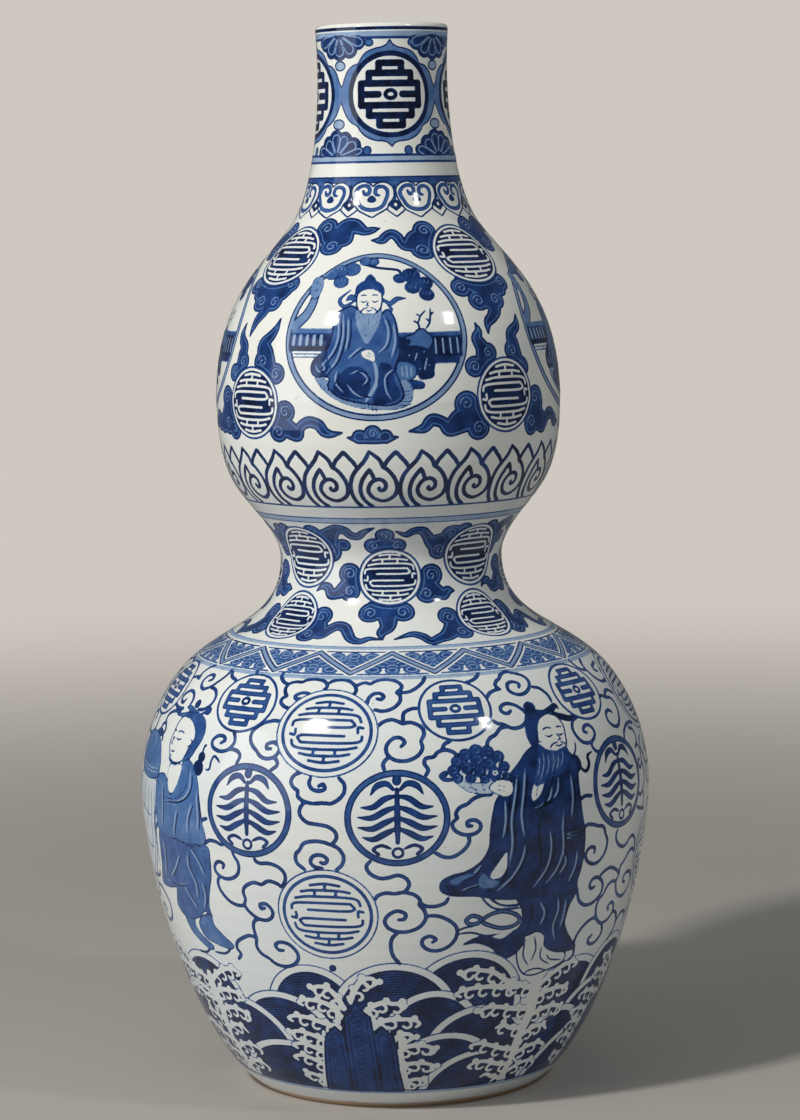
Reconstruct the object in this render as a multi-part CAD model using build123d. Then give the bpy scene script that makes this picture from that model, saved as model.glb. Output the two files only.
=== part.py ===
"""Double gourd vase in porcelain, thrown in six sections and luted together with slip.

Millimetres, +Z up, origin on the vase's axis in the plane that its foot ring stands on.
Each section is a ring of the vase's wall. Two sections meet rim to rim over a thin ring
of slip, whose tongues fill the grooves that the potter scored in both rims.
"""

from build123d import *
from math import cos, radians, sin
from typing import NamedTuple
import os

# How far each station of the outline rises above the one below it, from the foot up
belly_rise = 185.2
shoulder_rise = 75.5
waist_rise = 65.2
bulb_root_rise = 38.2
bulb_rise = 59.6
collar_rise = 108.5
neck_rise = 91.2
rim_rise = 26.6

# Heights above the floor
belly_height = belly_rise
shoulder_height = belly_height + shoulder_rise
waist_height = shoulder_height + waist_rise
bulb_root_height = waist_height + bulb_root_rise
bulb_height = bulb_root_height + bulb_rise
collar_height = bulb_height + collar_rise
neck_height = collar_height + neck_rise
vase_height = neck_height + rim_rise

# Radii of the outside at those stations
foot_radius = 90.6
belly_radius = 158.0
shoulder_radius = 128.3
waist_radius = 68.6
bulb_root_radius = 90.8
bulb_radius = 106.0
collar_radius = 56.2
neck_radius = 39.6
rim_radius = 40.4

# How far the outside leans out from upright at those stations, in degrees
foot_lean = 53.5
shoulder_lean = -46.9
bulb_root_lean = 36.6
collar_lean = -32.3
rim_lean = 2.0

# Wall thickness, measured square to the wall
belly_wall = 8.5
shoulder_wall = 8.0
waist_wall = 7.5
bulb_wall = 6.5
neck_wall = 5.5
rim_wall = 5.0

# Foot ring, the glazed recess inside it and the floor of the vase
foot_ring_width = 11.0
foot_ring_bevel = 1.5
recess_depth = 9.0
recess_slope = 4.0
base_thickness = 10.0
floor_inset = 10.6
floor_lean = 74.0

# Where the sections are luted: how far below or above the nearest station
belly_joint_drop = 15.2
shoulder_joint_lift = 20.3
waist_joint_drop = 8.1
bulb_joint_lift = 2.3
neck_joint_lift = 37.3

# Slip in each joint: its layer, the bead squeezed out inside, and its two tongues
slip_thickness = 1.6
bead_reach = 1.6
tongue_width = 1.2
tongue_depth = 1.4
tongue_offset = 1.5

# How far a cutting rectangle passes what it cuts
overrun = 20.0


class Station(NamedTuple):
    """A point of the outline, in the half plane to the right of the axis.

    The reach shares say how far the curve's handles below and above the station
    reach, as shares of the rise to the neighbouring station.
    """

    radius: float
    height: float
    lean: float
    reach_below_share: float
    reach_above_share: float


class Joint(NamedTuple):
    """A luted joint and the slip ring that fills it."""

    name: str
    height: float


outside = [
    Station(foot_radius, 0, foot_lean, 0, 0.255),
    Station(belly_radius, belly_height, 0, 0.29, 0.465),
    Station(shoulder_radius, shoulder_height, shoulder_lean, 0.23, 0.53),
    Station(waist_radius, waist_height, 0, 0.595, 0.36),
    Station(bulb_root_radius, bulb_root_height, bulb_root_lean, 0.28, 0.17),
    Station(bulb_radius, bulb_height, 0, 0.66, 0.6),
    Station(collar_radius, collar_height, collar_lean, 0.25, 0.275),
    Station(neck_radius, neck_height, 0, 0.275, 0.345),
    Station(rim_radius, vase_height - rim_wall / 2, rim_lean, 0.39, 0),
]

walls = [
    belly_wall,
    shoulder_wall,
    waist_wall,
    bulb_wall,
    bulb_wall,
    neck_wall,
    neck_wall,
    rim_wall,
]

joints = [
    Joint("belly_slip_ring", belly_height - belly_joint_drop),
    Joint("shoulder_slip_ring", shoulder_height + shoulder_joint_lift),
    Joint("waist_slip_ring", bulb_root_height - waist_joint_drop),
    Joint("bulb_slip_ring", bulb_height + bulb_joint_lift),
    Joint("neck_slip_ring", collar_height + neck_joint_lift),
]

section_names = [
    "lower_belly",
    "upper_belly",
    "waist",
    "lower_bulb",
    "upper_bulb",
    "neck",
]


def inward(station, wall):
    """The station moved square to the outside, by the wall's thickness."""
    lean = radians(station.lean)
    return station._replace(
        radius=station.radius - wall * cos(lean),
        height=station.height + wall * sin(lean),
    )


def inside_stations():
    """The floor's edge, then every station above the foot moved in by its wall."""
    floor_height = recess_depth + base_thickness
    floor_edge = Station(foot_radius - floor_inset, floor_height, floor_lean, 0, 0.3)
    return [floor_edge] + [inward(s, wall) for s, wall in zip(outside[1:], walls)]


def spans(stations):
    """The four control points of each curve between two stations in a row."""
    result = []
    for low, high in zip(stations[:-1], stations[1:]):
        rise = high.height - low.height
        low_lean = radians(low.lean)
        high_lean = radians(high.lean)
        reach_up = rise * low.reach_above_share
        reach_down = rise * high.reach_below_share
        result.append(
            [
                (low.radius, low.height),
                (low.radius + reach_up * sin(low_lean), low.height + reach_up * cos(low_lean)),
                (high.radius - reach_down * sin(high_lean), high.height - reach_down * cos(high_lean)),
                (high.radius, high.height),
            ]
        )
    return result


def radius_at(height, stations):
    """The radius of a chain of curves at a height, found by halving the curve's range."""
    for points in spans(stations):
        if points[0][1] <= height <= points[3][1]:
            low, high = 0, 1
            for _ in range(40):
                t = (low + high) / 2
                shares = [(1 - t) ** 3, 3 * t * (1 - t) ** 2, 3 * t**2 * (1 - t), t**3]
                if sum(share * point[1] for share, point in zip(shares, points)) < height:
                    low = t
                else:
                    high = t
            return sum(share * point[0] for share, point in zip(shares, points))
    raise ValueError("no wall at that height")


def flat(radius, height):
    """A point of the half section, which is drawn in the XZ plane."""
    return (radius, 0, height)


def wall_section():
    """The face of the whole wall that is turned about the axis.

    It runs up the outside, over the half round rim, down the inside to the floor,
    and back along the recess under the base to the bevelled foot ring.
    """
    inside = inside_stations()
    edges = [Bezier(*[flat(*point) for point in span]) for span in spans(outside)]
    edges += [Bezier(*[flat(*point) for point in span]) for span in spans(inside)]
    rim_out = outside[-1]
    rim_in = inside[-1]
    rim_top = ((rim_out.radius + rim_in.radius) / 2, vase_height)
    edges.append(
        ThreePointArc(
            flat(rim_out.radius, rim_out.height),
            flat(*rim_top),
            flat(rim_in.radius, rim_in.height),
        )
    )
    floor = inside[0]
    recess_radius = foot_radius - foot_ring_width
    under = [
        (floor.radius, floor.height),
        (0, floor.height),
        (0, recess_depth),
        (recess_radius - recess_slope, recess_depth),
        (recess_radius, foot_ring_bevel),
        (recess_radius + foot_ring_bevel, 0),
        (foot_radius, 0),
    ]
    edges += [Line(flat(*a), flat(*b)) for a, b in zip(under[:-1], under[1:])]
    return make_face(edges)


def rectangle(inner, outer, low, high):
    """A rectangle of the half section between two radii and two heights."""
    corners = [(inner, low), (outer, low), (outer, high), (inner, high)]
    return make_face(Polyline(*[flat(*corner) for corner in corners], close=True))


def middle_radius(height):
    """The radius half way through the wall at a height."""
    return (radius_at(height, outside) + radius_at(height, inside_stations())) / 2


def tongues(height):
    """The two tongues of the slip at a joint, above and below its layer.

    They stand side by side and lean with the wall, so that clay is left on both sides.
    """
    reach = slip_thickness / 2 + tongue_depth
    result = []
    for side in (-1, 1):
        corners = []
        for end, edges in ((-1, (-1, 1)), (1, (1, -1))):
            centre = middle_radius(height + end * reach) + side * tongue_offset
            corners += [flat(centre + edge * tongue_width / 2, height + end * reach) for edge in edges]
        result.append(make_face(Polyline(*corners, close=True)))
    return result


def turned(face):
    """The solid that a half section makes when it is turned once about the axis."""
    return revolve(face, axis=Axis.Z)


def slip_ring(wall, joint):
    """The slip of one joint: the wall's slice, its tongues and the bead inside."""
    low = joint.height - slip_thickness / 2
    high = joint.height + slip_thickness / 2
    inner = radius_at(joint.height, inside_stations())
    face = wall & rectangle(0, belly_radius + overrun, low, high)
    for tongue in tongues(joint.height):
        face = face + tongue
    face = face + rectangle(inner - bead_reach, middle_radius(joint.height), low, high)
    nose = Circle(slip_thickness / 2)
    nose = Plane.XZ * Pos(inner - bead_reach, joint.height) * nose
    return turned(face + nose)


def section(wall, low_joint, high_joint):
    """The wall from one joint to the next, with the grooves that the tongues fill."""
    low = low_joint.height + slip_thickness / 2 if low_joint else -overrun
    high = high_joint.height - slip_thickness / 2 if high_joint else vase_height + overrun
    face = wall & rectangle(-overrun, belly_radius + overrun, low, high)
    for joint in (low_joint, high_joint):
        if joint:
            for groove in tongues(joint.height):
                face = face - groove
    return turned(face)


os.makedirs("parts", exist_ok=True)
wall = wall_section()
ends = [None] + joints + [None]
for name, low_joint, high_joint in zip(section_names, ends[:-1], ends[1:]):
    export_step(section(wall, low_joint, high_joint), f"parts/{name}.step")
for joint in joints:
    export_step(slip_ring(wall, joint), f"parts/{joint.name}.step")
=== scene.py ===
"""Double gourd vase: porcelain painted in cobalt under a clear glaze.

The wall is one surface of turning, cut into rings at the potter's joints and where a ring
would grow too heavy. The painting is worked out as distances to each brush mark, in
millimetres on the wall, and kept on the wall's vertices for the glaze's material to read.
A place on the wall is given in degrees round from the front and in millimetres of wall
from the foot up.
"""

from functools import partial
from types import SimpleNamespace

import bpy
import numpy as np
from mathutils import Matrix, Vector


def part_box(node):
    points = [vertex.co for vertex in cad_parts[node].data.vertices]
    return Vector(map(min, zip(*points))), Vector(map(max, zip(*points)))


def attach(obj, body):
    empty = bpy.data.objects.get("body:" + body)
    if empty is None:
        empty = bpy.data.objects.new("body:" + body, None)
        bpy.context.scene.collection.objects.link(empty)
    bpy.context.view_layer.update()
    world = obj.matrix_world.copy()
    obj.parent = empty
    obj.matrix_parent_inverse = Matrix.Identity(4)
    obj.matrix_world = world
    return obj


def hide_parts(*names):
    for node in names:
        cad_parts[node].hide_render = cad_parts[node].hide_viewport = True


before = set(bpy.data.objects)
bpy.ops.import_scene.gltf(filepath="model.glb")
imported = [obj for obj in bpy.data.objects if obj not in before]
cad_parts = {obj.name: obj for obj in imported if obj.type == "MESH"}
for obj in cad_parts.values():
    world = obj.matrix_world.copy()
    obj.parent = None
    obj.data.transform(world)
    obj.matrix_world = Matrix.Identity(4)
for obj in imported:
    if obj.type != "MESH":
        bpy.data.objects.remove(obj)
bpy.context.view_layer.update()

# The thrown wall
# White porcelain, thrown in six sections, luted, and trimmed. Its outside and inside are
# turned from the same stations, and a slow unevenness and the joints' ridges stay in it.
MM = 0.001
FOOT_RADIUS = 90.6
VASE_HEIGHT = 650.0
RIM_WALL = 5.0
# radius and height of each station, its lean in degrees, the shares of the rise that the
# curve's handles reach below and above it, and the wall's thickness there
OUTLINE = np.array(
    [
        (FOOT_RADIUS, 0.0, 53.5, 0.0, 0.255, 8.5),
        (158.0, 185.2, 0.0, 0.29, 0.465, 8.5),
        (128.3, 260.7, -46.9, 0.23, 0.53, 8.0),
        (68.6, 325.9, 0.0, 0.595, 0.36, 7.5),
        (90.8, 364.1, 36.6, 0.28, 0.17, 6.5),
        (106.0, 423.7, 0.0, 0.66, 0.6, 6.5),
        (56.2, 532.2, -32.3, 0.25, 0.275, 5.5),
        (39.6, 623.4, 0.0, 0.275, 0.345, 5.5),
        (40.4, VASE_HEIGHT - RIM_WALL / 2, 2.0, 0.39, 0.0, RIM_WALL),
    ]
)
CURVE_STEPS = 160


def turned_outline(stations):
    """Radius and height along a chain of cubic curves through the stations.

    A curve leaves each station along its lean, and its handles reach the given shares of
    the rise: p(t) = (1-t)^3 a + 3t(1-t)^2 b + 3t^2(1-t) c + t^3 d.
    """
    low, high = stations[:-1], stations[1:]
    along = np.stack([np.sin(np.radians(stations[:, 2])), np.cos(np.radians(stations[:, 2]))], 1)
    rise = (high[:, 1] - low[:, 1])[:, None]
    a, d = low[:, :2], high[:, :2]
    b = a + along[:-1] * rise * low[:, 4:5]
    c = d - along[1:] * rise * high[:, 3:4]
    t = np.linspace(0, 1, CURVE_STEPS)[None, :, None]
    a, b, c, d = (p[:, None, :] for p in (a, b, c, d))
    curve = (1 - t) ** 3 * a + 3 * t * (1 - t) ** 2 * b + 3 * t**2 * (1 - t) * c + t**3 * d
    points = np.concatenate([curve[:, :-1].reshape(-1, 2), curve[-1, -1:]])
    return points[:, 0], points[:, 1]


wall_radius, wall_height = turned_outline(OUTLINE)
wall_arc = np.concatenate([[0], np.cumsum(np.hypot(np.diff(wall_radius), np.diff(wall_height)))])
WALL_END = wall_arc[-1]


def arc_at(height):
    """The length of wall from the foot up to a height, both in millimetres."""
    return float(np.interp(height, wall_height, wall_arc))


def radius_at(arc):
    """The wall's radius at a length of wall from the foot."""
    return np.interp(arc, wall_arc, wall_radius)


def joint_arc(node):
    """Where a slip ring's middle meets the outside, as a length of wall."""
    low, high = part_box(node)
    return arc_at((low[2] + high[2]) / 2 / MM)


JOINTS = {
    name: joint_arc(name + "_slip_ring")
    for name in ("belly", "shoulder", "waist", "bulb", "neck")
}

# name, lowest and highest place on the wall, vertices round, CAD nodes it stands for
WALL_RINGS = [
    ("foot_and_base", 0.0, 62.0, 1168, ["lower_belly"]),
    ("belly_waves", 62.0, 124.0, 1168, ["lower_belly"]),
    ("lower_belly_wall", 124.0, JOINTS["belly"], 1168, ["lower_belly", "belly_slip_ring"]),
    ("belly_wall", JOINTS["belly"], 248.0, 1168, ["upper_belly"]),
    ("shoulder_wall", 248.0, JOINTS["shoulder"], 1024, ["upper_belly", "shoulder_slip_ring"]),
    ("waist_wall", JOINTS["shoulder"], JOINTS["waist"], 784, ["waist", "waist_slip_ring"]),
    ("bulb_foot_wall", JOINTS["waist"], JOINTS["bulb"], 880, ["lower_bulb", "bulb_slip_ring"]),
    ("bulb_wall", JOINTS["bulb"], 566.0, 880, ["upper_bulb"]),
    ("bulb_collar_wall", 566.0, JOINTS["neck"], 720, ["upper_bulb", "neck_slip_ring"]),
    ("neck_wall", JOINTS["neck"], WALL_END, 512, ["neck"]),
]
RING_FACES = 184000
FAR = 4.0  # the farthest distance that the painting keeps, in millimetres
FAR_MARKS = ("line", "wash", "pale")  # distances to a mark's edge, less than 0 inside it
MARKS = FAR_MARKS + ("ink", "depth", "rim", "comb", "combed")


def wall_ring(name, low, high, columns, nodes):
    """One ring of wall as a grid: angles in degrees from the front, and arc lengths.

    Its painting starts bare: every brush mark is far away.
    """
    spacing = 2 * np.pi * radius_at((low + high) / 2) / columns
    rows = int(min((high - low) / spacing, RING_FACES / 2 / columns)) + 1
    arc = np.linspace(low, high, rows)
    bare = np.full((rows, columns), FAR, dtype=np.float32)
    marks = {mark: bare.copy() if mark in FAR_MARKS else np.zeros_like(bare) for mark in MARKS}
    return SimpleNamespace(
        name=name,
        nodes=nodes,
        arc=arc,
        columns=columns,
        mm_per_degree=np.radians(radius_at(arc)),
        marks=marks,
    )


rings = [wall_ring(*ring) for ring in WALL_RINGS]

# The brush
# Cobalt is painted on the dry, raw clay with pointed brushes: a fine one for outlines and
# a full one for washes. A mark is a shape whose far() gives the distance to its edge.


def per_degree(arc):
    """Millimetres round the wall for one degree, at a place up the wall."""
    return float(np.radians(radius_at(arc)))


def placed(points, degrees, arc, turn=0, flip=False, size=1.0):
    """Points in millimetres about a motif's middle, as degrees and arcs on the wall."""
    points = np.array(points, dtype=float)
    x, y = points[:, 0] * size, points[:, 1] * size
    if flip:
        x = -x
    sin, cos = np.sin(np.radians(turn)), np.cos(np.radians(turn))
    x, y = x * cos - y * sin, x * sin + y * cos
    rest = points[:, 2:] * size
    return np.column_stack([degrees + x / per_degree(arc), arc + y, rest])


def turned(points, degrees):
    """Points of the wall moved round it by some degrees."""
    points = np.array(points, dtype=float)
    points[:, 0] += degrees
    return points


def flowing(points, closed=False, step=1.3):
    """A curve through the points: between two of them it is a cubic whose slopes there are
    half the way from the point before to the point after."""
    points = np.asarray(points, dtype=float)
    if closed:
        padded = np.vstack([points[-1], points, points[:2]])
    else:
        padded = np.vstack([2 * points[0] - points[1], points, 2 * points[-1] - points[-2]])
    per = per_degree(points[:, 1].mean())
    parts = []
    for a, b, c, d in zip(padded[:-3], padded[1:-2], padded[2:-1], padded[3:]):
        reach = np.hypot((c[0] - b[0]) * per, c[1] - b[1])
        t = np.linspace(0, 1, max(2, int(reach / step) + 1), endpoint=False)[:, None]
        slope_b, slope_c = (c - a) / 2, (d - b) / 2
        parts.append(
            (2 * t**3 - 3 * t**2 + 1) * b
            + (t**3 - 2 * t**2 + t) * slope_b
            + (3 * t**2 - 2 * t**3) * c
            + (t**3 - t**2) * slope_c
        )
    return np.vstack(parts + [padded[-2:-1]])


def box_round(points, reach):
    """The lowest and highest degree and arc round some points, with a margin."""
    low, high = points.min(0), points.max(0)
    per = per_degree(points[:, 1].mean())
    return (low[0] - reach / per, high[0] + reach / per, low[1] - reach, high[1] + reach)


def within(view, box):
    """The rows and columns of a view of the wall that a box covers."""
    columns = slice(*np.searchsorted(view.degrees, box[:2]))
    rows = slice(*np.searchsorted(view.arc, box[2:]))
    return rows, columns


RUNS_AT_ONCE = 14


def runs_far(view, points, half_width):
    """Distance to a line of short runs, less its half width, over the whole view.

    It is worked out a few runs at a time, each only where they are near.
    """
    result = np.full((len(view.arc), len(view.degrees)), FAR, dtype=np.float32)
    for first in range(0, len(points) - 1, RUNS_AT_ONCE):
        run = points[first : first + RUNS_AT_ONCE + 1]
        half = half_width[first : first + RUNS_AT_ONCE + 1]
        rows, columns = within(view, box_round(run, half.max() + FAR))
        degrees, arc, per = view.degrees[columns], view.arc[rows], view.per[rows]
        if not len(degrees) or not len(arc):
            continue
        across = (run[None, None, :, 0] - degrees[None, :, None]) * per[:, None, None]
        up = np.broadcast_to(run[None, None, :, 1] - arc[:, None, None], across.shape)
        ax, ay = across[..., :-1], up[..., :-1]
        dx, dy = across[..., 1:] - ax, up[..., 1:] - ay
        t = np.clip(-(ax * dx + ay * dy) / (dx**2 + dy**2 + 1e-9), 0, 1)
        width = half[:-1] + t * (half[1:] - half[:-1])
        far = (np.hypot(ax + t * dx, ay + t * dy) - width).min(-1)
        result[rows, columns] = np.minimum(result[rows, columns], far)
    return result


def stroke(points, width=1.0, taper=(1, 1), closed=False, straight=False):
    """A brush drawn along a curve. A point's third number, where it has one, is the width
    there; otherwise the width swells from one share, through the whole, to another."""
    points = np.asarray(points, dtype=float)
    if straight:
        line = np.vstack([points, points[:1]]) if closed else points
    else:
        line = flowing(points, closed)
    if line.shape[1] > 2:
        half = line[:, 2] / 2
    else:
        t = np.linspace(0, 1, len(line))
        half = width / 2 * np.minimum(1, np.minimum(taper[0] + 4 * t, taper[1] + 4 * (1 - t)))
    return SimpleNamespace(
        box=box_round(line[:, :2], half.max() + FAR),
        far=lambda view: runs_far(view, line[:, :2], half),
    )


def area(points, straight=False):
    """A filled shape inside a closed curve: the distance to the curve, less than 0 inside."""
    points = np.asarray(points, dtype=float)
    line = np.vstack([points, points[:1]]) if straight else flowing(points, True)

    def far(view):
        distance = runs_far(view, line, np.zeros(len(line)))
        rows, columns = within(view, box_round(line, 0))
        degrees, arc = view.degrees[columns], view.arc[rows]
        inside = np.zeros((len(arc), len(degrees)), dtype=bool)
        for (x0, y0), (x1, y1) in zip(line[:-1], line[1:]):
            if y0 != y1:
                crosses = (y0 > arc) != (y1 > arc)
                edge = x0 + (x1 - x0) * (arc - y0) / (y1 - y0)
                inside ^= crosses[:, None] & (degrees[None, :] < edge[:, None])
        part = distance[rows, columns]
        distance[rows, columns] = np.where(inside, -part, part)
        return distance

    return SimpleNamespace(box=box_round(line, FAR), far=far)


def oval(degrees, arc, across, up, width=0.0):
    """A disc with the given half width and half height, or a hoop if it has a width."""
    per = per_degree(arc)
    reach = max(across, up) + width / 2 + FAR

    def far(view):
        x = (view.degrees[None, :] - degrees) * per
        y = view.arc[:, None] - arc
        k0 = np.hypot(x / across, y / up)
        k1 = np.hypot(x / across**2, y / up**2) + 1e-9
        distance = np.where(k0 < 0.02, -min(across, up), k0 * (k0 - 1) / k1)
        if width:
            distance = np.abs(distance) - width / 2
        return distance.astype(np.float32)

    box = (degrees - reach / per, degrees + reach / per, arc - reach, arc + reach)
    return SimpleNamespace(box=box, far=far)


def hoop(arc, width):
    """A line right round the vase, drawn with the vase turning on the wheel."""

    def far(view):
        distance = np.abs(view.arc - arc) - width / 2
        return np.repeat(distance[:, None], len(view.degrees), 1).astype(np.float32)

    reach = width / 2 + FAR
    return SimpleNamespace(box=(-180, 180, arc - reach, arc + reach), far=far)


def together(*shapes):
    """Several shapes as one: the least of their distances."""
    low = np.min([shape.box for shape in shapes], axis=0)
    high = np.max([shape.box for shape in shapes], axis=0)

    def far(view):
        result = np.full((len(view.arc), len(view.degrees)), FAR, dtype=np.float32)
        for shape in shapes:
            rows, columns = within(view, shape.box)
            near = SimpleNamespace(
                degrees=view.degrees[columns], arc=view.arc[rows], per=view.per[rows]
            )
            if len(near.degrees) and len(near.arc):
                result[rows, columns] = np.minimum(result[rows, columns], shape.far(near))
        return result

    return SimpleNamespace(box=(low[0], high[1], low[2], high[3]), far=far)


def both(first, second):
    """Where two shapes overlap: the greater of their distances."""
    low = np.maximum(first.box, second.box)
    high = np.minimum(first.box, second.box)
    box = (low[0], high[1], low[2], high[3])
    return SimpleNamespace(box=box, far=lambda view: np.maximum(first.far(view), second.far(view)))


def wall_under(shape):
    """Each ring's marks under a shape: the marks, their place, the distances and the view."""
    low, high, bottom, top = shape.box
    if high - low >= 360:
        low, high = -180, 180
    for ring in rings:
        if ring.arc[-1] < bottom or ring.arc[0] > top:
            continue
        step = 360 / ring.columns
        first = int(np.ceil((low + 180) / step))
        last = min(int((high + 180) / step), first + ring.columns - 1)
        index = np.arange(first, last + 1)
        rows = np.arange(*np.searchsorted(ring.arc, (bottom, top), side="right"))
        if not len(index) or not len(rows):
            continue
        view = SimpleNamespace(
            degrees=index * step - 180, arc=ring.arc[rows], per=ring.mm_per_degree[rows]
        )
        far = np.clip(shape.far(view), -FAR, FAR)
        yield ring.marks, np.ix_(rows, index % ring.columns), far, view


def line_work(shape, ink=0.85):
    """Outlines and pen lines in thick cobalt."""
    for marks, place, far, _ in wall_under(shape):
        line = marks["line"][place]
        marks["ink"][place] = np.where(far < line, ink, marks["ink"][place])
        marks["line"][place] = np.minimum(line, far)


WASH_EDGE = 0.8  # millimetres past its edge that a wash still sets the strength


def wash_over(shape, depth, rim=1.0, comb_middle=None, combed=0.0):
    """A wash of thinned cobalt. rim 1 gives it a dark edge, 2 also a pale line inside it.

    comb_middle is the point that its fine water lines run round, if it has them.
    """
    for marks, place, far, view in wall_under(shape):
        wash = marks["wash"][place]
        nearer = far < np.minimum(wash, WASH_EDGE)
        marks["depth"][place] = np.where(nearer, depth, marks["depth"][place])
        marks["rim"][place] = np.where(nearer, rim, marks["rim"][place])
        marks["combed"][place] = np.where(nearer, combed, marks["combed"][place])
        marks["wash"][place] = np.minimum(wash, far)
        marks["pale"][place] = np.maximum(marks["pale"][place], -far)
        marks["line"][place] = np.maximum(marks["line"][place], np.minimum(-far, FAR))
        if comb_middle is not None:
            across = (view.degrees[None, :] - comb_middle[0]) * view.per[:, None]
            phase = np.hypot(across, view.arc[:, None] - comb_middle[1])
            marks["comb"][place] = np.where(nearer, phase, marks["comb"][place])


def left_white(shape, outline=0.0, ink=0.85):
    """Bare clay left white, with everything painted under it wiped off."""
    for marks, place, far, _ in wall_under(shape):
        for mark in FAR_MARKS:
            marks[mark][place] = np.maximum(marks[mark][place], -far)
    if outline:
        line_work(edge_of(shape, outline), ink)


def edge_of(shape, width, inset=0.0):
    """The outline of a shape, as a line of its own, on its edge or some way inside it."""
    return SimpleNamespace(
        box=shape.box, far=lambda view: np.abs(shape.far(view) + inset) - width / 2
    )


def pale_line(shape):
    """A line scratched or left through a wash, which the glaze fills with pale blue."""
    for marks, place, far, _ in wall_under(shape):
        marks["pale"][place] = np.minimum(marks["pale"][place], far)


def curl(degrees, arc, radius, start=90.0, turns=1.3, sense=1, inner=0.12):
    """Points of a spiral that winds in to a middle: its reach falls evenly with its angle."""
    t = np.linspace(0, 1, int(9 * turns) + 2)
    angle = np.radians(start + sense * 360 * turns * t)
    reach = radius * (1 - (1 - inner) * t)
    return np.column_stack(
        [degrees + reach * np.cos(angle) / per_degree(arc), arc + reach * np.sin(angle)]
    )


# Clouds and roundels
# The motifs that the upper bulb and the waist share: ruyi clouds, each a run of round
# lobes with a tail, and roundels of white bars on blue, drawn with a compass and a brush.
CLOUD_DEPTH = 0.77
# a tail's widths as they are listed, and what a full brush makes of them
CLOUD_FULLNESS = ((0.5, 4, 9), (0.9, 6.2, 15))


def cloud(lobes, strokes=(), turn=0, depth=CLOUD_DEPTH):
    """A cloud of round lobes, the larger ones with a pale curl in them, and tails of a full brush.
    """
    shapes = [oval(degrees + turn, arc, r + 1.1, 0.95 * r + 0.9) for degrees, arc, r in lobes]
    for points in strokes:
        tail = turned(points, turn)
        tail[:, 2] = np.interp(tail[:, 2], *CLOUD_FULLNESS)
        shapes.append(stroke(tail))
    wash_over(together(*shapes), depth, rim=2)
    middle = np.mean([lobe[0] for lobe in lobes])
    for degrees, arc, r in lobes:
        if r > 3.6:
            sense = 1 if degrees < middle else -1
            start = 200 if sense > 0 else -20
            wind = curl(degrees + turn, arc, 0.68 * r, start, 1.45, -sense)
            pale_line(stroke(wind, 0.75, (0.5, 0.8)))


FRET_BAR = 0.098  # width of a bar, as a share of the roundel's half width
# each bar as points in shares of the half width, from the top row down: staggered rows and a
# key fret in the middle, whose lower half is its upper half turned half round
FRET_HALF = [
    [(-0.36, 0.83), (0, 0.88), (0.36, 0.83)],
    [(-0.6, 0.64), (-0.3, 0.69), (0.3, 0.69), (0.6, 0.64)],
    [(-0.76, 0.45), (-0.4, 0.51), (0.4, 0.51), (0.76, 0.45), (0.84, 0.28)],
    [(-0.88, 0.14), (-0.84, 0.28), (-0.5, 0.33), (0.46, 0.33), (0.62, 0.3), (0.62, 0.13),
     (-0.46, 0.13)],
    [(0, 0.88), (0, 0.69)], [(-0.26, 0.69), (-0.26, 0.51)], [(0.26, 0.69), (0.26, 0.51)],
    [(0.9, 0.1), (0.78, 0.12), (0.78, -0.04)],
]


def fret_bars(degrees, arc, across, up, width):
    """The fret's bars, the same turned half round."""
    size = np.array([across, up]) * 0.92
    for half in (1, -1):
        for bar in FRET_HALF:
            yield stroke(placed(np.array(bar) * size * half, degrees, arc), width)


def fret_roundel(degrees, arc, across, up, depth=0.9):
    """White bars on a dark disc inside a white ring."""
    left_white(oval(degrees, arc, across + 0.6, up + 0.6))
    line_work(oval(degrees, arc, across, up, 1.2), 0.7)
    wash_over(oval(degrees, arc, across - 2.4, up - 2.4), depth)
    for bar in fret_bars(degrees, arc, across, up, FRET_BAR * (across + up) / 2):
        left_white(bar)


def light_roundel(degrees, arc, across, up):
    """Blue bars on the white clay inside a blue band and a thin ring."""
    left_white(oval(degrees, arc, across + 0.6, up + 0.6))
    line_work(oval(degrees, arc, across, up, 0.9), 0.75)
    line_work(oval(degrees, arc, across - 3.8, up - 3.8, 2.0), 0.72)
    for bar in fret_bars(degrees, arc, across - 4, up - 4, 1.7):
        line_work(bar, 0.72)


def lattice_roundel(degrees, arc, across, up):
    """Dark bars stacked in a ring, alike above and below: a lattice on the white clay."""
    left_white(oval(degrees, arc, across + 0.6, up + 0.6))
    line_work(oval(degrees, arc, across, up, 1.6), 0.72)
    lattice(degrees, arc, 0.8 * across, 0.8 * up, 0.075 * (across + up))


LATTICE_ROWS = [(0.94, 0.34), (0.64, 0.64), (0.33, 0.88)]
LATTICE_POSTS = [(0.34, 0.94, 0.64), (0.64, 0.64, 0.33), (0.88, 0.33, 0.0)]


def lattice(degrees, arc, across, up, width, ink=0.8):
    """A stepped lantern: bars that grow towards the middle, joined at their ends by posts,
    round a small ring. The same above and below, left and right."""
    bars = []
    for mirror in (1, -1):
        bars += [[(-x, mirror * y), (x, mirror * y)] for y, x in LATTICE_ROWS]
        bars += [[(mirror * 0.88, 0), (mirror * 0.36, 0)]]
        for side in (1, -1):
            bars += [
                [(side * x, mirror * top), (side * x, mirror * foot)]
                for x, top, foot in LATTICE_POSTS
            ]
    for bar in bars:
        points = np.array(bar) * (across, up)
        line_work(stroke(placed(points, degrees, arc), width, straight=True), ink)
    line_work(oval(degrees, arc, 0.15 * across, 0.12 * up, 0.6 * width), ink)
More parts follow.
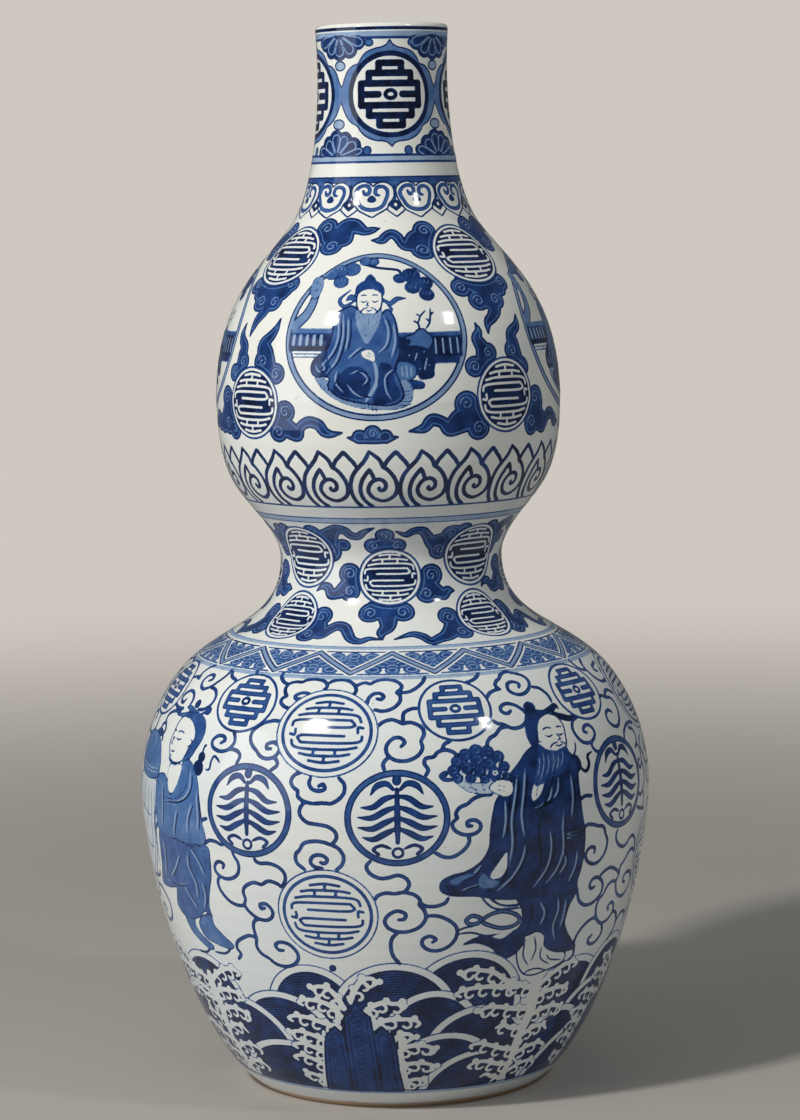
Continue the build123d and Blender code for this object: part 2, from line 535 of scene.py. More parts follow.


# The neck
# A plain collar of lines and four lobed medallions, with half flowers hung from the top
# line and standing on the lower one. All in outline and wash. Its blues are painted a step
# deeper than the bulb's: partly the neck's own dark cobalt, partly painted shade where the
# neck stands in shadow.
NECK_LINE = 725.0
NECK_MIDDLE = 7.0
NECK_PER_DEGREE = 0.72  # millimetres round the neck
MEDALLION_MIDDLE = 686.0
FIELD_MIDDLE = 685.6
FLOWER_MIDDLE = -39.8
HANGING_LINE = 722
STANDING_LINE = 648
# degrees, place, half width and half height of each petal
HANGING_PETALS = [
    (-58, 717, 5, 5), (-49.5, 712.5, 5, 5), (-39.5, 711, 5.5, 4.6), (-29, 712.5, 5, 5),
    (-21, 717, 4.5, 4.5), (-39.5, 718.5, 14, 4),
]
STANDING_PETALS = [
    (-58, 652, 4, 3.5), (-51, 656, 5, 5), (-42, 659.5, 5.4, 5), (-33, 658.5, 5, 5),
    (-25, 655, 5, 5), (-20, 651.5, 3, 3), (-40, 652.5, 12, 4),
]
NECK_DABS = [
    ((-39.3, 703, 3.9, 2.9), 0.22), ((-40, 668, 4.3, 3.0), 0.22), ((-13, 652, 2.5, 2.7), 0.55),
    ((20.5, 652, 2.5, 2.7), 0.55), ((-11, 716.5, 2.6, 2.2), 0.5), ((27, 716.5, 2.6, 2.2), 0.5),
]
QUARTERS = (0, 90, 180, 270)
# right half of the medallion's outline, from the top tip down, about its middle in mm
MEDALLION_HALF = [
    (0, 32), (1.8, 29.5), (5, 27.8), (9, 27), (14, 25), (17.5, 21.5), (19.5, 18), (23, 17),
    (27, 13.5), (30, 7), (33, 0), (30.5, -7), (27.5, -13), (24, -17), (20, -19.3), (18, -22.5),
    (14, -26), (9, -28), (4, -28.6), (1.5, -30), (0, -31.7),
]

line_work(hoop(NECK_LINE, 1.9), 0.95)
wash_over(hoop(721.6, 3.2), 0.24, rim=0)
line_work(hoop(719.4, 1.6), 0.78)
line_work(hoop(649.2, 1.6), 0.78)
wash_over(hoop(647.2, 2.6), 0.2, rim=0)
line_work(hoop(645.2, 1.4), 0.74)


def neck_medallion(degrees):
    """A lobed frame with a pale band, and a lattice of dark bars in its round field."""
    left = [(-x, y) for x, y in MEDALLION_HALF[-2:0:-1]]
    wash_over(area(placed(MEDALLION_HALF + left, degrees, MEDALLION_MIDDLE)), 0.4, rim=1)
    left_white(oval(degrees, FIELD_MIDDLE, 25.2, 25.0))
    line_work(oval(degrees, FIELD_MIDDLE, 24.6, 24.4, 3.2), 0.92)
    lattice(degrees, FIELD_MIDDLE, 20.2, 19.8, 4.1, 1.0)


def half_flower(petals, base, turn):
    """Petals of a wash round a middle on a line. Each petal holds a long pale loop."""
    wash_over(together(*[oval(d + turn, a, x, y) for d, a, x, y in petals]), 0.8, rim=1)
    for d, a, x, _ in petals[:-1]:
        out = np.array([(d - FLOWER_MIDDLE) * NECK_PER_DEGREE, a - base])
        beside = np.array([-out[1], out[0]]) / np.hypot(*out) * x
        loop = [
            0.3 * out - 0.15 * beside,
            out - 0.56 * beside,
            1.2 * out,
            out + 0.56 * beside,
            0.3 * out + 0.15 * beside,
        ]
        pale_line(stroke(placed(loop, turn + FLOWER_MIDDLE, base), 0.8))


for quarter in QUARTERS:
    half_flower(HANGING_PETALS, HANGING_LINE, quarter)
    half_flower(STANDING_PETALS, STANDING_LINE, quarter)
    for dab, depth in NECK_DABS:
        wash_over(oval(dab[0] + quarter, *dab[1:]), depth)
    neck_medallion(NECK_MIDDLE + quarter)

# The collar
# Twelve ruyi heads hang from a blue band, with a pointed drop between each two: one brush
# for the outline and a fuller one for the blue scroll inside.
HEADS = 12
RUYI_MIDDLE = -7.4
RUYI_OUTLINE = [
    (-7.3, 610.3), (-4.5, 612), (-1, 614), (1.5, 615.5), (3, 617), (3.2, 618.5), (5, 620.5),
    (6.8, 622.5), (7.6, 626), (6.8, 629.5), (4.5, 631.5), (1, 632.7), (-3, 632.5), (-5.5, 631.5),
    (-7.4, 630.2), (-9, 631.6), (-12.5, 633), (-16, 633), (-20, 631.5), (-22.5, 629),
    (-22.5, 625), (-21, 621.5), (-19, 618), (-16.5, 615), (-12, 612.5),
]
RUYI_SCROLL = [
    (-14.2, 627.2, 1.6), (-13, 625.3, 2.2), (-10.5, 625.5, 2.4), (-9.5, 627.5, 2.3),
    (-10.5, 629.8, 2.2), (-13.5, 630.6, 2.2), (-17, 629.8, 2.2), (-19.7, 627, 2.3),
    (-19.3, 624, 2.3), (-17.5, 621, 2.3), (-16, 618.5, 2.3), (-13, 616.2, 2.4), (-8, 615.2, 2.6),
    (-3, 616.2, 2.4), (0, 618.5, 2.3), (1.5, 621.5, 2.3), (2.9, 625, 2.3), (2.5, 628, 2.3),
    (0.5, 629.6, 2.2), (-2, 630, 2.2), (-4.6, 629.3, 2.3), (-5.8, 627, 2.3), (-5, 625, 2.1),
    (-2.9, 624.5, 1.4),
]
RUYI_DROP = [(-8, 624.3), (-10.8, 621.9), (-9.5, 620.4), (-6.5, 620.4), (-5.2, 621.9)]
RUYI_CORNER = [(7.7, 621.5), (3.6, 626), (3, 634), (12.4, 634), (11.8, 626)]
RUYI_STEM = [(7.8, 631), (7.8, 620)]
DROP_LEAF = [(8, 622), (3.4, 618.4), (8.3, 614.6), (13, 618.4)]
DROP_HEART = [(8, 620.4), (6, 618.4), (8.1, 616.8), (10.1, 618.4)]
DROP_OUTLINE = [(1.8, 615.8), (4.6, 613.4), (8.3, 610.6), (12, 613.4), (14.8, 615.8)]

wash_over(hoop(634.2, 3.6), 0.62, rim=1)
head_places = np.interp(np.arange(HEADS), [0, 3, HEADS], [-39.4, 55, 320.6])
for place in head_places - RUYI_MIDDLE:
    head = area(turned(RUYI_OUTLINE, place))
    wash_over(area(turned(RUYI_CORNER, place), True), 0.55, rim=0)
    left_white(head, 0.95, 0.9)
    line_work(stroke(turned(RUYI_SCROLL, place)), 0.72)
    wash_over(area(turned(RUYI_DROP, place)), 0.78)
    line_work(stroke(turned(RUYI_STEM, place), 1.3), 0.85)
    line_work(stroke(turned(DROP_OUTLINE, place), 0.95, straight=True), 0.9)
    wash_over(area(turned(DROP_LEAF, place), True), 0.85)
    left_white(area(turned(DROP_HEART, place), True))

# The upper bulb's clouds and roundels
# Each quarter has a round picture and, between two pictures, a high and a low roundel in a
# bank of clouds. The side and back quarters repeat what the front shows.
BULB_QUARTERS = (0, 92.5, 180, 268.5)
BULB_HALVES = (0, 180)
# each cloud's lobes, then its tails, for every quarter and for every half
QUARTER_CLOUDS = [
    ([(-35.5, 603, 6.3), (-28, 589.3, 6.2)],
     [[(-37, 600, 4), (-30, 597, 11), (-25, 598.5, 9), (-22.5, 603, 8), (-18.5, 604.2, 6.5),
       (-14.5, 602.2, 5), (-11, 600.2, 3.6), (-7.5, 601, 3.2), (-3.2, 602.3, 0.5)],
      [(-27, 595, 6), (-22, 593.5, 6), (-19.4, 595.5, 3.4), (-19.2, 600, 3)]]),
    ([(22.8, 600.3, 6.2), (18.8, 585.3, 6.6)],
     [[(24, 594, 10), (18, 593.5, 9.5), (13.5, 589.8, 6.5), (10, 589, 4.6), (8, 592, 3.8),
       (6.5, 596, 4.2), (3.5, 598.2, 4.2), (0.5, 596.3, 4), (-1.8, 593.4, 3.6),
       (-6.8, 593.5, 0.4)]]),
    ([(-35, 482.5, 5.9), (-38, 470.5, 5.6)],
     [[(-38, 476, 7), (-34, 472.5, 7), (-30.5, 469, 5), (-29.3, 473.5, 4), (-26.3, 476.6, 4.2),
       (-22.8, 475.2, 4.2), (-21, 471.2, 4), (-18.5, 469.6, 2.6), (-15, 470.4, 0.4)]]),
    ([(26, 486, 6.8), (30.5, 471.3, 6.6)],
     [[(30, 479, 9), (24, 476, 9), (20, 471.5, 5.5), (17.6, 475.5, 4.4), (14, 477, 4.6),
       (11.5, 472.5, 3.6), (6.8, 470.8, 0.5)]]),
    ([(-9.2, 468, 3.4), (-5, 469.8, 4.2), (-1, 468, 3.4)],
     [[(-13, 467.5, 0.5), (-9, 466.5, 3), (-1, 466.5, 3), (3, 467.6, 0.5)]]),
]
HALF_CLOUDS = [
    ([(-63, 560, 5.5), (-41, 561, 5.2), (-54.5, 549, 6), (-46.5, 549, 5.6), (-57, 561, 5)],
     [[(-58, 556, 8), (-46, 556, 9), (-42, 557, 6)],
      [(-50, 552, 8), (-50, 544, 5.5), (-52.5, 537.5, 4.2), (-53.8, 532, 2.6), (-54.5, 527, 0.5)]]),
    ([(30.5, 557, 5.6), (36.5, 548, 6), (45, 548.5, 6), (52.5, 560, 5.5)],
     [[(33, 562, 7), (41, 557, 10), (50, 556, 7)],
      [(41, 550, 9), (43, 542.5, 6), (40.5, 537, 4.6), (37.8, 533.5, 3.4), (37, 527, 0.5)]]),
    ([(-56, 511.5, 5), (-61, 504.5, 4.6)],
     [[(-58, 508, 5), (-57, 515, 6), (-56.5, 520, 5), (-59, 525, 4), (-59.6, 530, 2.4),
       (-58.8, 534.5, 0.4)]]),
    ([(-45.5, 512, 6), (-39, 504.8, 5.6)],
     [[(-42, 508, 7), (-44.5, 516, 8), (-46, 522, 5.4), (-43, 527.5, 4.4), (-41.3, 532, 2.8),
       (-40.3, 538, 0.4)]]),
    ([(29.8, 507.5, 5.6), (35.5, 515.5, 5.2)],
     [[(33, 510, 6), (33.5, 518, 6), (31.8, 524, 4.6), (33, 528.5, 3), (32.3, 533.5, 0.4)]]),
    ([(46.5, 516, 5.4), (50, 506, 5.6)],
     [[(48, 510, 7), (47.5, 519, 6.4), (47.5, 526, 4.8), (51.5, 531, 3.6), (53, 537.5, 0.4)]]),
    ([(-66, 489, 6.6), (-66, 473.5, 6.2)],
     [[(-66, 481, 9), (-70, 475, 7), (-75, 472, 5), (-80, 473.5, 4), (-85, 471.5, 0.5)]]),
    ([(56.5, 487, 6.6), (54.5, 472.5, 6.4)],
     [[(56, 480, 9), (60, 474, 7), (63.5, 471.5, 4.4), (66, 475.5, 4.2), (70, 475, 3.4),
       (75, 472.6, 0.5)]]),
]
BULB_ROUNDELS = [
    (-51.5, 582, 22.3, 22), (41, 582, 22.3, 22), (-50, 487, 22.5, 21.3), (42, 490, 22, 22),
]

for turn in BULB_QUARTERS:
    for lobes, tails in QUARTER_CLOUDS:
        cloud(lobes, tails, turn)
for turn in BULB_HALVES:
    for lobes, tails in HALF_CLOUDS:
        cloud(lobes, tails, turn)
    for roundel in BULB_ROUNDELS:
        fret_roundel(roundel[0] + turn, *roundel[1:])

# The lappets
# A band of pointed leaves at the upper bulb's foot, each drawn as a curling spiral with a
# second row of tips behind it.
LAPPETS = 21
LAPPET_SPIRAL = [
    (-6.4, 459.2), (-4.5, 456.5), (-3, 454), (-2.2, 451), (-1.9, 449.6), (-0.5, 448), (1, 445),
    (2.2, 441), (2.7, 437), (2.6, 434), (1.8, 430.5), (0, 428), (-2, 426.8), (-4, 427.5),
    (-6, 429.7), (-7.1, 433), (-7.2, 436), (-6.2, 439.5), (-4.8, 441.3), (-3, 441.8), (-1.5, 440),
    (-1.1, 437), (-1.7, 435), (-2.8, 434.3), (-3.6, 435.3), (-3.4, 436.3),
]
LAPPET_LEFT = [
    (-6.4, 459.2), (-7, 456.5), (-8, 453.5), (-9.5, 450.5), (-11, 447.5), (-12.3, 444),
    (-13.2, 439), (-13.3, 434), (-12.7, 429), (-11.5, 425), (-10.3, 422.8),
]
LAPPET_VEIN = [
    (-6.5, 448.3), (-8, 444.5), (-9.2, 441), (-10, 436), (-9.8, 431), (-8.8, 427), (-7.3, 424),
    (-6, 422.5),
]
LAPPET_FORK = [(-6.5, 448.3), (-5.6, 445), (-5.1, 442.5)]
LAPPET_BACK = [
    [(2.3, 459), (0.8, 456), (-0.5, 453.5), (-1.4, 450.5)],
    [(2.3, 459), (4, 455.5), (5.5, 452.5), (6.2, 450.3)],
]
LAPPET_BRUSH = 2.5
LAPPET_INK = 0.9

line_work(hoop(421.8, 1.3), 0.7)
for place in np.arange(LAPPETS) * 360 / LAPPETS:
    for points in [LAPPET_SPIRAL, LAPPET_LEFT, LAPPET_VEIN, LAPPET_FORK] + LAPPET_BACK:
        line_work(stroke(turned(points, place), LAPPET_BRUSH, (0.7, 0.8)), LAPPET_INK)
line_work(hoop(412.3, 1.0), 0.62)
wash_over(hoop(410.3, 3.0), 0.16, rim=0)
line_work(hoop(408.3, 0.9), 0.55)

# The waist
# Three rows of fret roundels among clouds, four times round, down to the shoulder.
WAIST_QUARTERS = (0, 89.5, 180, 269.5)
WAIST_CLOUDS = [
    ([(-8, 391, 4.6), (3, 391, 4.4), (-2.5, 398.5, 4.6)],
     [[(-8, 388, 3), (-2.5, 391, 8), (3, 388, 3)]]),
    ([(-21, 373, 5.8), (-20.5, 362.5, 5.4)],
     [[(-19, 368, 7), (-23.5, 364, 6), (-27, 361, 4.6), (-30.5, 360.6, 4.2), (-32.6, 364.2, 3.6),
       (-36, 364.8, 2.4), (-39, 362, 0.4)]]),
    ([(20.5, 371.5, 6), (17.3, 360.5, 5.4)],
     [[(18, 366, 7), (22, 362, 6), (26, 359.3, 4.4), (28.5, 361.5, 3.4), (32, 361, 0.5)]]),
    ([(-9.5, 348.5, 6), (5, 349, 6)],
     [[(-8, 352, 6), (-2.3, 349, 8), (4, 352, 6)],
      [(-2.5, 350, 8), (-1.5, 342, 6.5), (-2, 337, 5.4), (-4, 333, 3.8), (-3.6, 327, 0.5)]]),
    ([(-37.5, 399.5, 5.6), (-31, 387.3, 6.8), (-22.8, 391.5, 3.4)],
     [[(-38, 393, 7), (-32, 394, 9), (-27.5, 400, 6), (-24, 403.3, 4.6), (-20.5, 402.3, 4.2),
       (-18, 398.8, 3.8), (-14.8, 398, 3.2), (-11.5, 401.5, 2.4), (-7, 404.5, 0.4)]]),
    ([(29, 398, 6), (24.3, 387, 5.4), (35, 400, 5)],
     [[(33, 393, 7), (24, 392, 8), (19.5, 393, 5), (17, 397.5, 4.2), (14.3, 401.6, 3.8),
       (10.3, 401.5, 3.4), (7, 398.8, 2.4), (2.6, 401.5, 0.4)]]),
    ([(-32, 345, 6.3), (-34, 330.5, 6)],
     [[(-32, 338, 8), (-28.5, 331.5, 6), (-26, 334.5, 5), (-23, 338.3, 4.6), (-19.3, 337.3, 4.4),
       (-17, 332, 4.2), (-15, 327.3, 3.8), (-11.7, 325.5, 3.2), (-8.5, 328, 2.2),
       (-4.3, 327.2, 0.4)]]),
    ([(25.3, 344, 6), (28, 331.5, 5.8)],
     [[(27, 338, 8), (22, 330, 6), (18, 326.8, 4.6), (14.3, 324.5, 4), (11.3, 329.3, 3.8),
       (7.3, 331.3, 2.8), (1, 327.3, 0.4)]]),
]
WAIST_ROUNDELS = [(-0.5, 371, 18.8, 17.3), (44.2, 383.5, 20, 20), (42.8, 342.5, 18.5, 18.3)]

for turn in WAIST_QUARTERS:
    for lobes, tails in WAIST_CLOUDS:
        cloud(lobes, tails, turn)
for turn in WAIST_QUARTERS:
    for roundel in WAIST_ROUNDELS:
        fret_roundel(roundel[0] + turn, *roundel[1:])

# The shoulder band
# A pale ribbon zigzags between two double lines, with a small cloud in each triangle.
ZIGZAGS = 15
BAND_TOP = 315.5
BAND_FOOT = 295.5
BAND_MIRROR = 610.2
# degrees, place and half width of the cloud's lobes in a triangle that stands on its base
BAND_LOBES = [
    (0, 308.2, 4.0), (-2.8, 304.2, 4.6), (2.8, 304.2, 4.6), (0, 301.6, 4.6), (-5.6, 299.4, 5.0),
    (5.6, 299.4, 5.0), (0, 298.9, 4.4),
]

for arc in (319.3, 292.6):
    wash_over(hoop(arc, 2.2), 0.2, rim=0)
    line_work(hoop(arc + 1.1, 0.7), 0.5)
    line_work(hoop(arc - 1.1, 0.7), 0.5)
line_work(hoop(BAND_TOP, 1.0), 0.8)
line_work(hoop(BAND_FOOT, 1.0), 0.75)
corners = np.arange(2 * ZIGZAGS) * 180 / ZIGZAGS
tops = np.where(np.arange(2 * ZIGZAGS) % 2, BAND_TOP - 1.0, BAND_FOOT + 1.0)
for place in corners[::2]:
    standing = [(d + place, arc, r) for d, arc, r in BAND_LOBES]
    hanging = [(d + 12, BAND_MIRROR - arc, r) for d, arc, r in standing]
    for lobes in (standing, hanging):
        for d, arc, r in lobes:
            left_white(oval(d, arc, r, 0.72 * r), 0.8, 0.8)
            wash_over(oval(d, arc, r, 0.72 * r), 0.6, rim=0)
            pale_line(edge_of(oval(d, arc, 0.62 * r, 0.4 * r), 0.9))
ribbon = np.column_stack([np.append(corners, 360.0), np.append(tops, tops[0])]) - (180, 0)
left_white(stroke(ribbon, 6.2, straight=True))
wash_over(stroke(ribbon, 3.2, straight=True), 0.3, rim=1)


# The belly's foot
# Two lines on the wheel, then hills of dark water with white crests, white foam that
# climbs over them in curled fingers, and three-peaked rocks that stand in the water.
WATER_DEPTH = 0.92
CREST = 4.8  # millimetres of white left along the top of a hill of water
WATER_FOOT = 18.5
# degrees and place of each hill's middle, its half width in degrees, and its top, from the
# furthest back to the nearest
WATER_HILLS = [
    (-84, 70, 13, 110), (-57, 80, 13, 110), (-22, 76, 12.5, 112.5), (50, 68, 14, 106),
    (68, 76, 13, 112), (17, 80, 15, 121), (-1, 74, 15.5, 115.2), (-66, 52, 15, 87),
    (-32, 54, 14.5, 92.5), (63, 52, 14.5, 87.5), (9, 58, 12.5, 96), (-47, 42, 15.5, 85),
    (22, 48, 14, 83.5), (49, 38, 13, 72.5), (13, 28, 14.5, 65.5), (-70, 10, 13.5, 58),
    (-33, 14, 19, 57), (25, 8, 16, 51), (66, 14, 19, 58),
]
HALVES = (0, 180)
FOAM_TURNS = (-93, 0, 87, 180)
# each finger of foam: its places from the root to the curled tip
FOAM = [
    [(-12, 90), (-10.5, 98), (-8.5, 104), (-6.3, 105), (-5.2, 102), (-6.2, 100)],
    [(-9, 80), (-6.5, 86), (-3.5, 88.6), (-1.2, 87.6), (0.6, 88), (1.8, 85.5), (1, 83.6)],
    [(-7, 70), (-4, 75.5), (0, 76.6), (3.8, 76), (5.4, 73), (4.5, 70.8)],
    [(-2, 60), (0.6, 65.5), (2.9, 65.3), (3.7, 62.4), (2.4, 61)],
    [(-1, 50), (2, 56), (6, 56.8), (9, 54.8), (9.9, 51.2), (8.7, 49.4)],
    [(-1, 36), (2, 42), (6, 43), (9.4, 41), (10, 37.4), (8.8, 36)],
    [(1, 20), (2.4, 27), (5, 29.6), (7.8, 28), (8, 24.8), (6.6, 23.8)],
    [(-14, 84), (-15.5, 92), (-17.5, 97.5), (-20, 98.4), (-21.6, 96.6), (-20.8, 95)],
    [(-15, 78), (-17, 84.5), (-20, 88), (-24, 88.6), (-26, 86.2), (-25, 84.4)],
    [(-16, 70), (-20.5, 73), (-24, 75.6), (-28, 76.2), (-30.3, 74), (-29.2, 72)],
    [(-19.5, 58), (-23.5, 62.5), (-28, 65), (-30.8, 63), (-29.8, 61)],
    [(-20.5, 48), (-24, 53), (-28, 55.8), (-31.2, 53.6), (-30.2, 51.6)],
    [(-21.5, 38), (-25, 43), (-29, 46.2), (-32.4, 44.2), (-31.5, 42)],
    [(-22.5, 24), (-26, 29.5), (-29, 31.6), (-31, 29), (-29.6, 27.2)],
    [(36, 90), (31, 94.5), (27, 99), (24, 104.5), (20.5, 107.3), (17.5, 108.4), (15.4, 105.8),
     (16.4, 103.4)],
    [(31, 93), (26, 94.6), (21.5, 95.8), (17, 95.2), (14.4, 92.4), (15.6, 90.4)],
    [(36, 76), (31, 77.6), (27, 80.2), (23.4, 81), (21.3, 78.6), (22.4, 76.4)],
    [(36, 62), (31.6, 63.6), (29, 67), (27, 65)],
    [(36, 46), (31.4, 48), (27, 51.8), (23.4, 54.8), (20.3, 53.8), (20.8, 51.4)],
    [(36, 34), (31, 36), (27, 39.4), (23.6, 40), (21, 37.2), (22, 35)],
    [(35.4, 22), (31, 25), (28, 28.4), (26.4, 26.6)],
    [(38, 92), (41, 97), (44.5, 101.2), (48, 102.6), (50.2, 100.4), (49, 98.6)],
    [(37, 82), (40, 85.4), (44, 86.6), (47.6, 85.8), (49, 82.6), (47.6, 81)],
    [(37, 70), (41, 73.4), (45, 74), (48.4, 71.4), (48.6, 67.6), (47.2, 66)],
    [(36, 56), (40, 60.6), (43.6, 60.4), (45.4, 57)],
    [(36, 42), (40, 46), (44.6, 47), (47.6, 43.6), (47, 41)],
    [(36, 28), (40, 32.4), (44, 33.4), (46.8, 29.6), (46, 26.4)],
]
FOAM_TRUNKS = [
    [(37, 95, 6), (36.5, 86, 9), (37, 74, 8), (36, 62, 7), (35, 50, 5.4), (35.4, 38, 4.4),
     (34.8, 27, 5.4), (35.5, 18, 8)],
    [(-12.5, 92, 3), (-12, 88, 3)], [(0.2, 66, 3), (0.6, 50, 3.4), (1.2, 35, 4.4), (2.6, 19, 5)],
    [(-20.6, 66, 3), (-21.6, 50, 3.6), (-23, 35, 4.6), (-25.4, 19, 5)],
    [(-15.6, 84, 4), (-16, 74, 4)], [(-8, 84, 3.6), (-6.2, 74, 4)],
]
# a wave of a rock's grain, about its middle
ROCK_WAVE = [(-1.5, -1.6), (-0.5, 0.4), (0.5, 0.6), (1.4, 1.8)]
ROCK_PEAKS = [
    [(-24.6, 17), (-22.6, 38), (-20.8, 58), (-19.8, 64), (-17.2, 70.4), (-15, 65), (-14.4, 17)],
    [(1.4, 17), (-0.3, 38), (-0.9, 55), (-1.6, 64), (-4.2, 70.4), (-6.8, 65), (-7.2, 17)],
    [(-15.4, 17), (-14.6, 58), (-14.3, 77), (-12.7, 81), (-10.9, 87.6), (-9.2, 82), (-7.4, 78),
     (-6.7, 58), (-5.8, 17)],
]


def hill_of_water(degrees, middle, half, top):
    """A dome of dark water with a white crest, thinly outlined, combed with fine arcs."""
    across = half * per_degree(min(top, 100))
    above = oval(degrees, middle, across, top - middle)
    left, right = degrees - 40, degrees + 40
    corners = [(left, WATER_FOOT), (right, WATER_FOOT), (right, 125), (left, 125)]
    floor = area(corners, True)
    crest = both(above, floor)
    left_white(crest, 0.8, 0.72)
    inner = oval(degrees, middle, across - CREST, top - middle - CREST)
    wash_over(both(inner, floor), WATER_DEPTH, 1, (degrees, middle - 12), 1.0)


FINGER = (4.5, 2.5)  # width of a finger of foam at its root and its tip
DRIP = 2.5  # width of a drip
DRIP_SPACING = 9.4
# a drip's places as millimetres over and along its finger
DRIP_STEPS = np.array([[0, 0], [3.0, 2.0], [5.6, 1.4], [6.3, -1.0], [5.0, -2.6]])
BUMP = 2.5  # half width of a bump on a finger's back


def finger_of_foam(points):
    """A finger with a scalloped back, hooked drips on the side that its tip curls to, and
    the dark water behind these. Each drip leaves it squarely, then bends towards its root."""
    line = flowing(points, step=0.6)
    scale = (per_degree(line[:, 1].mean()), 1)
    flat = line * scale
    way = np.gradient(flat, axis=0)
    way /= np.hypot(way[:, :1], way[:, 1:])
    heading = np.unwrap(np.arctan2(way[:, 1], way[:, 0]))
    over = np.sign(heading[-1] - heading[0]) * np.column_stack([-way[:, 1], way[:, 0]])
    length = np.append(0, np.hypot(*np.diff(flat, axis=0).T).cumsum())
    parts = [stroke(np.column_stack([points, np.linspace(*FINGER, len(points))]))]
    for k in np.searchsorted(length, np.arange(4.4, length[-1] - 6.0, DRIP_SPACING)):
        hook = flat[k] + DRIP_STEPS[:, :1] * over[k] + DRIP_STEPS[:, 1:] * way[k]
        parts.append(stroke(hook / scale, DRIP, (1, 0.9)))
        bump = flat[k] - 1.0 * over[k] + 3.6 * way[k]
        parts.append(oval(*(bump / scale), BUMP, BUMP))
    behind = (flat + 3.4 * over)[(length > 2.6) & (length < length[-1] - 3.4)][::4] / scale
    return together(*parts), stroke(behind, 5.0)


line_work(hoop(19.6, 1.1), 0.8)
wash_over(hoop(17.4, 2.2), 0.2, rim=0)
for turn in HALVES:
    for degrees, middle, half, top in WATER_HILLS:
        hill_of_water(degrees + turn, middle, half, top)
for turn in FOAM_TURNS:
    fingers = [finger_of_foam(turned(finger, turn)) for finger in FOAM]
    for finger, behind in fingers:
        wash_over(behind, WATER_DEPTH)
        left_white(finger, 1.1, 0.8)
    for trunk in FOAM_TRUNKS:
        left_white(stroke(turned(trunk, turn)))
    for finger, behind in fingers:
        left_white(finger)
    for peak in ROCK_PEAKS:
        rock = area(turned(peak, turn), True)
        left_white(rock)
        wash_over(rock, 0.72)
        line_work(edge_of(rock, 1.3), 0.95)
        line_work(edge_of(rock, 1.2, 2.7), 0.9)
        middle = np.mean([p[0] for p in peak[1:-1]]) + turn
        for arc in np.arange(24, peak[2][1] + 8, 3.6):
            line_work(stroke(np.add(ROCK_WAVE, (middle, arc)), 1.2, (0.8, 0.8)), 0.86)
wash_over(hoop(17.4, 2.2), 0.2, rim=0)
line_work(hoop(19.6, 1.1), 0.8)
left_white(hoop(12.8, 7.0))
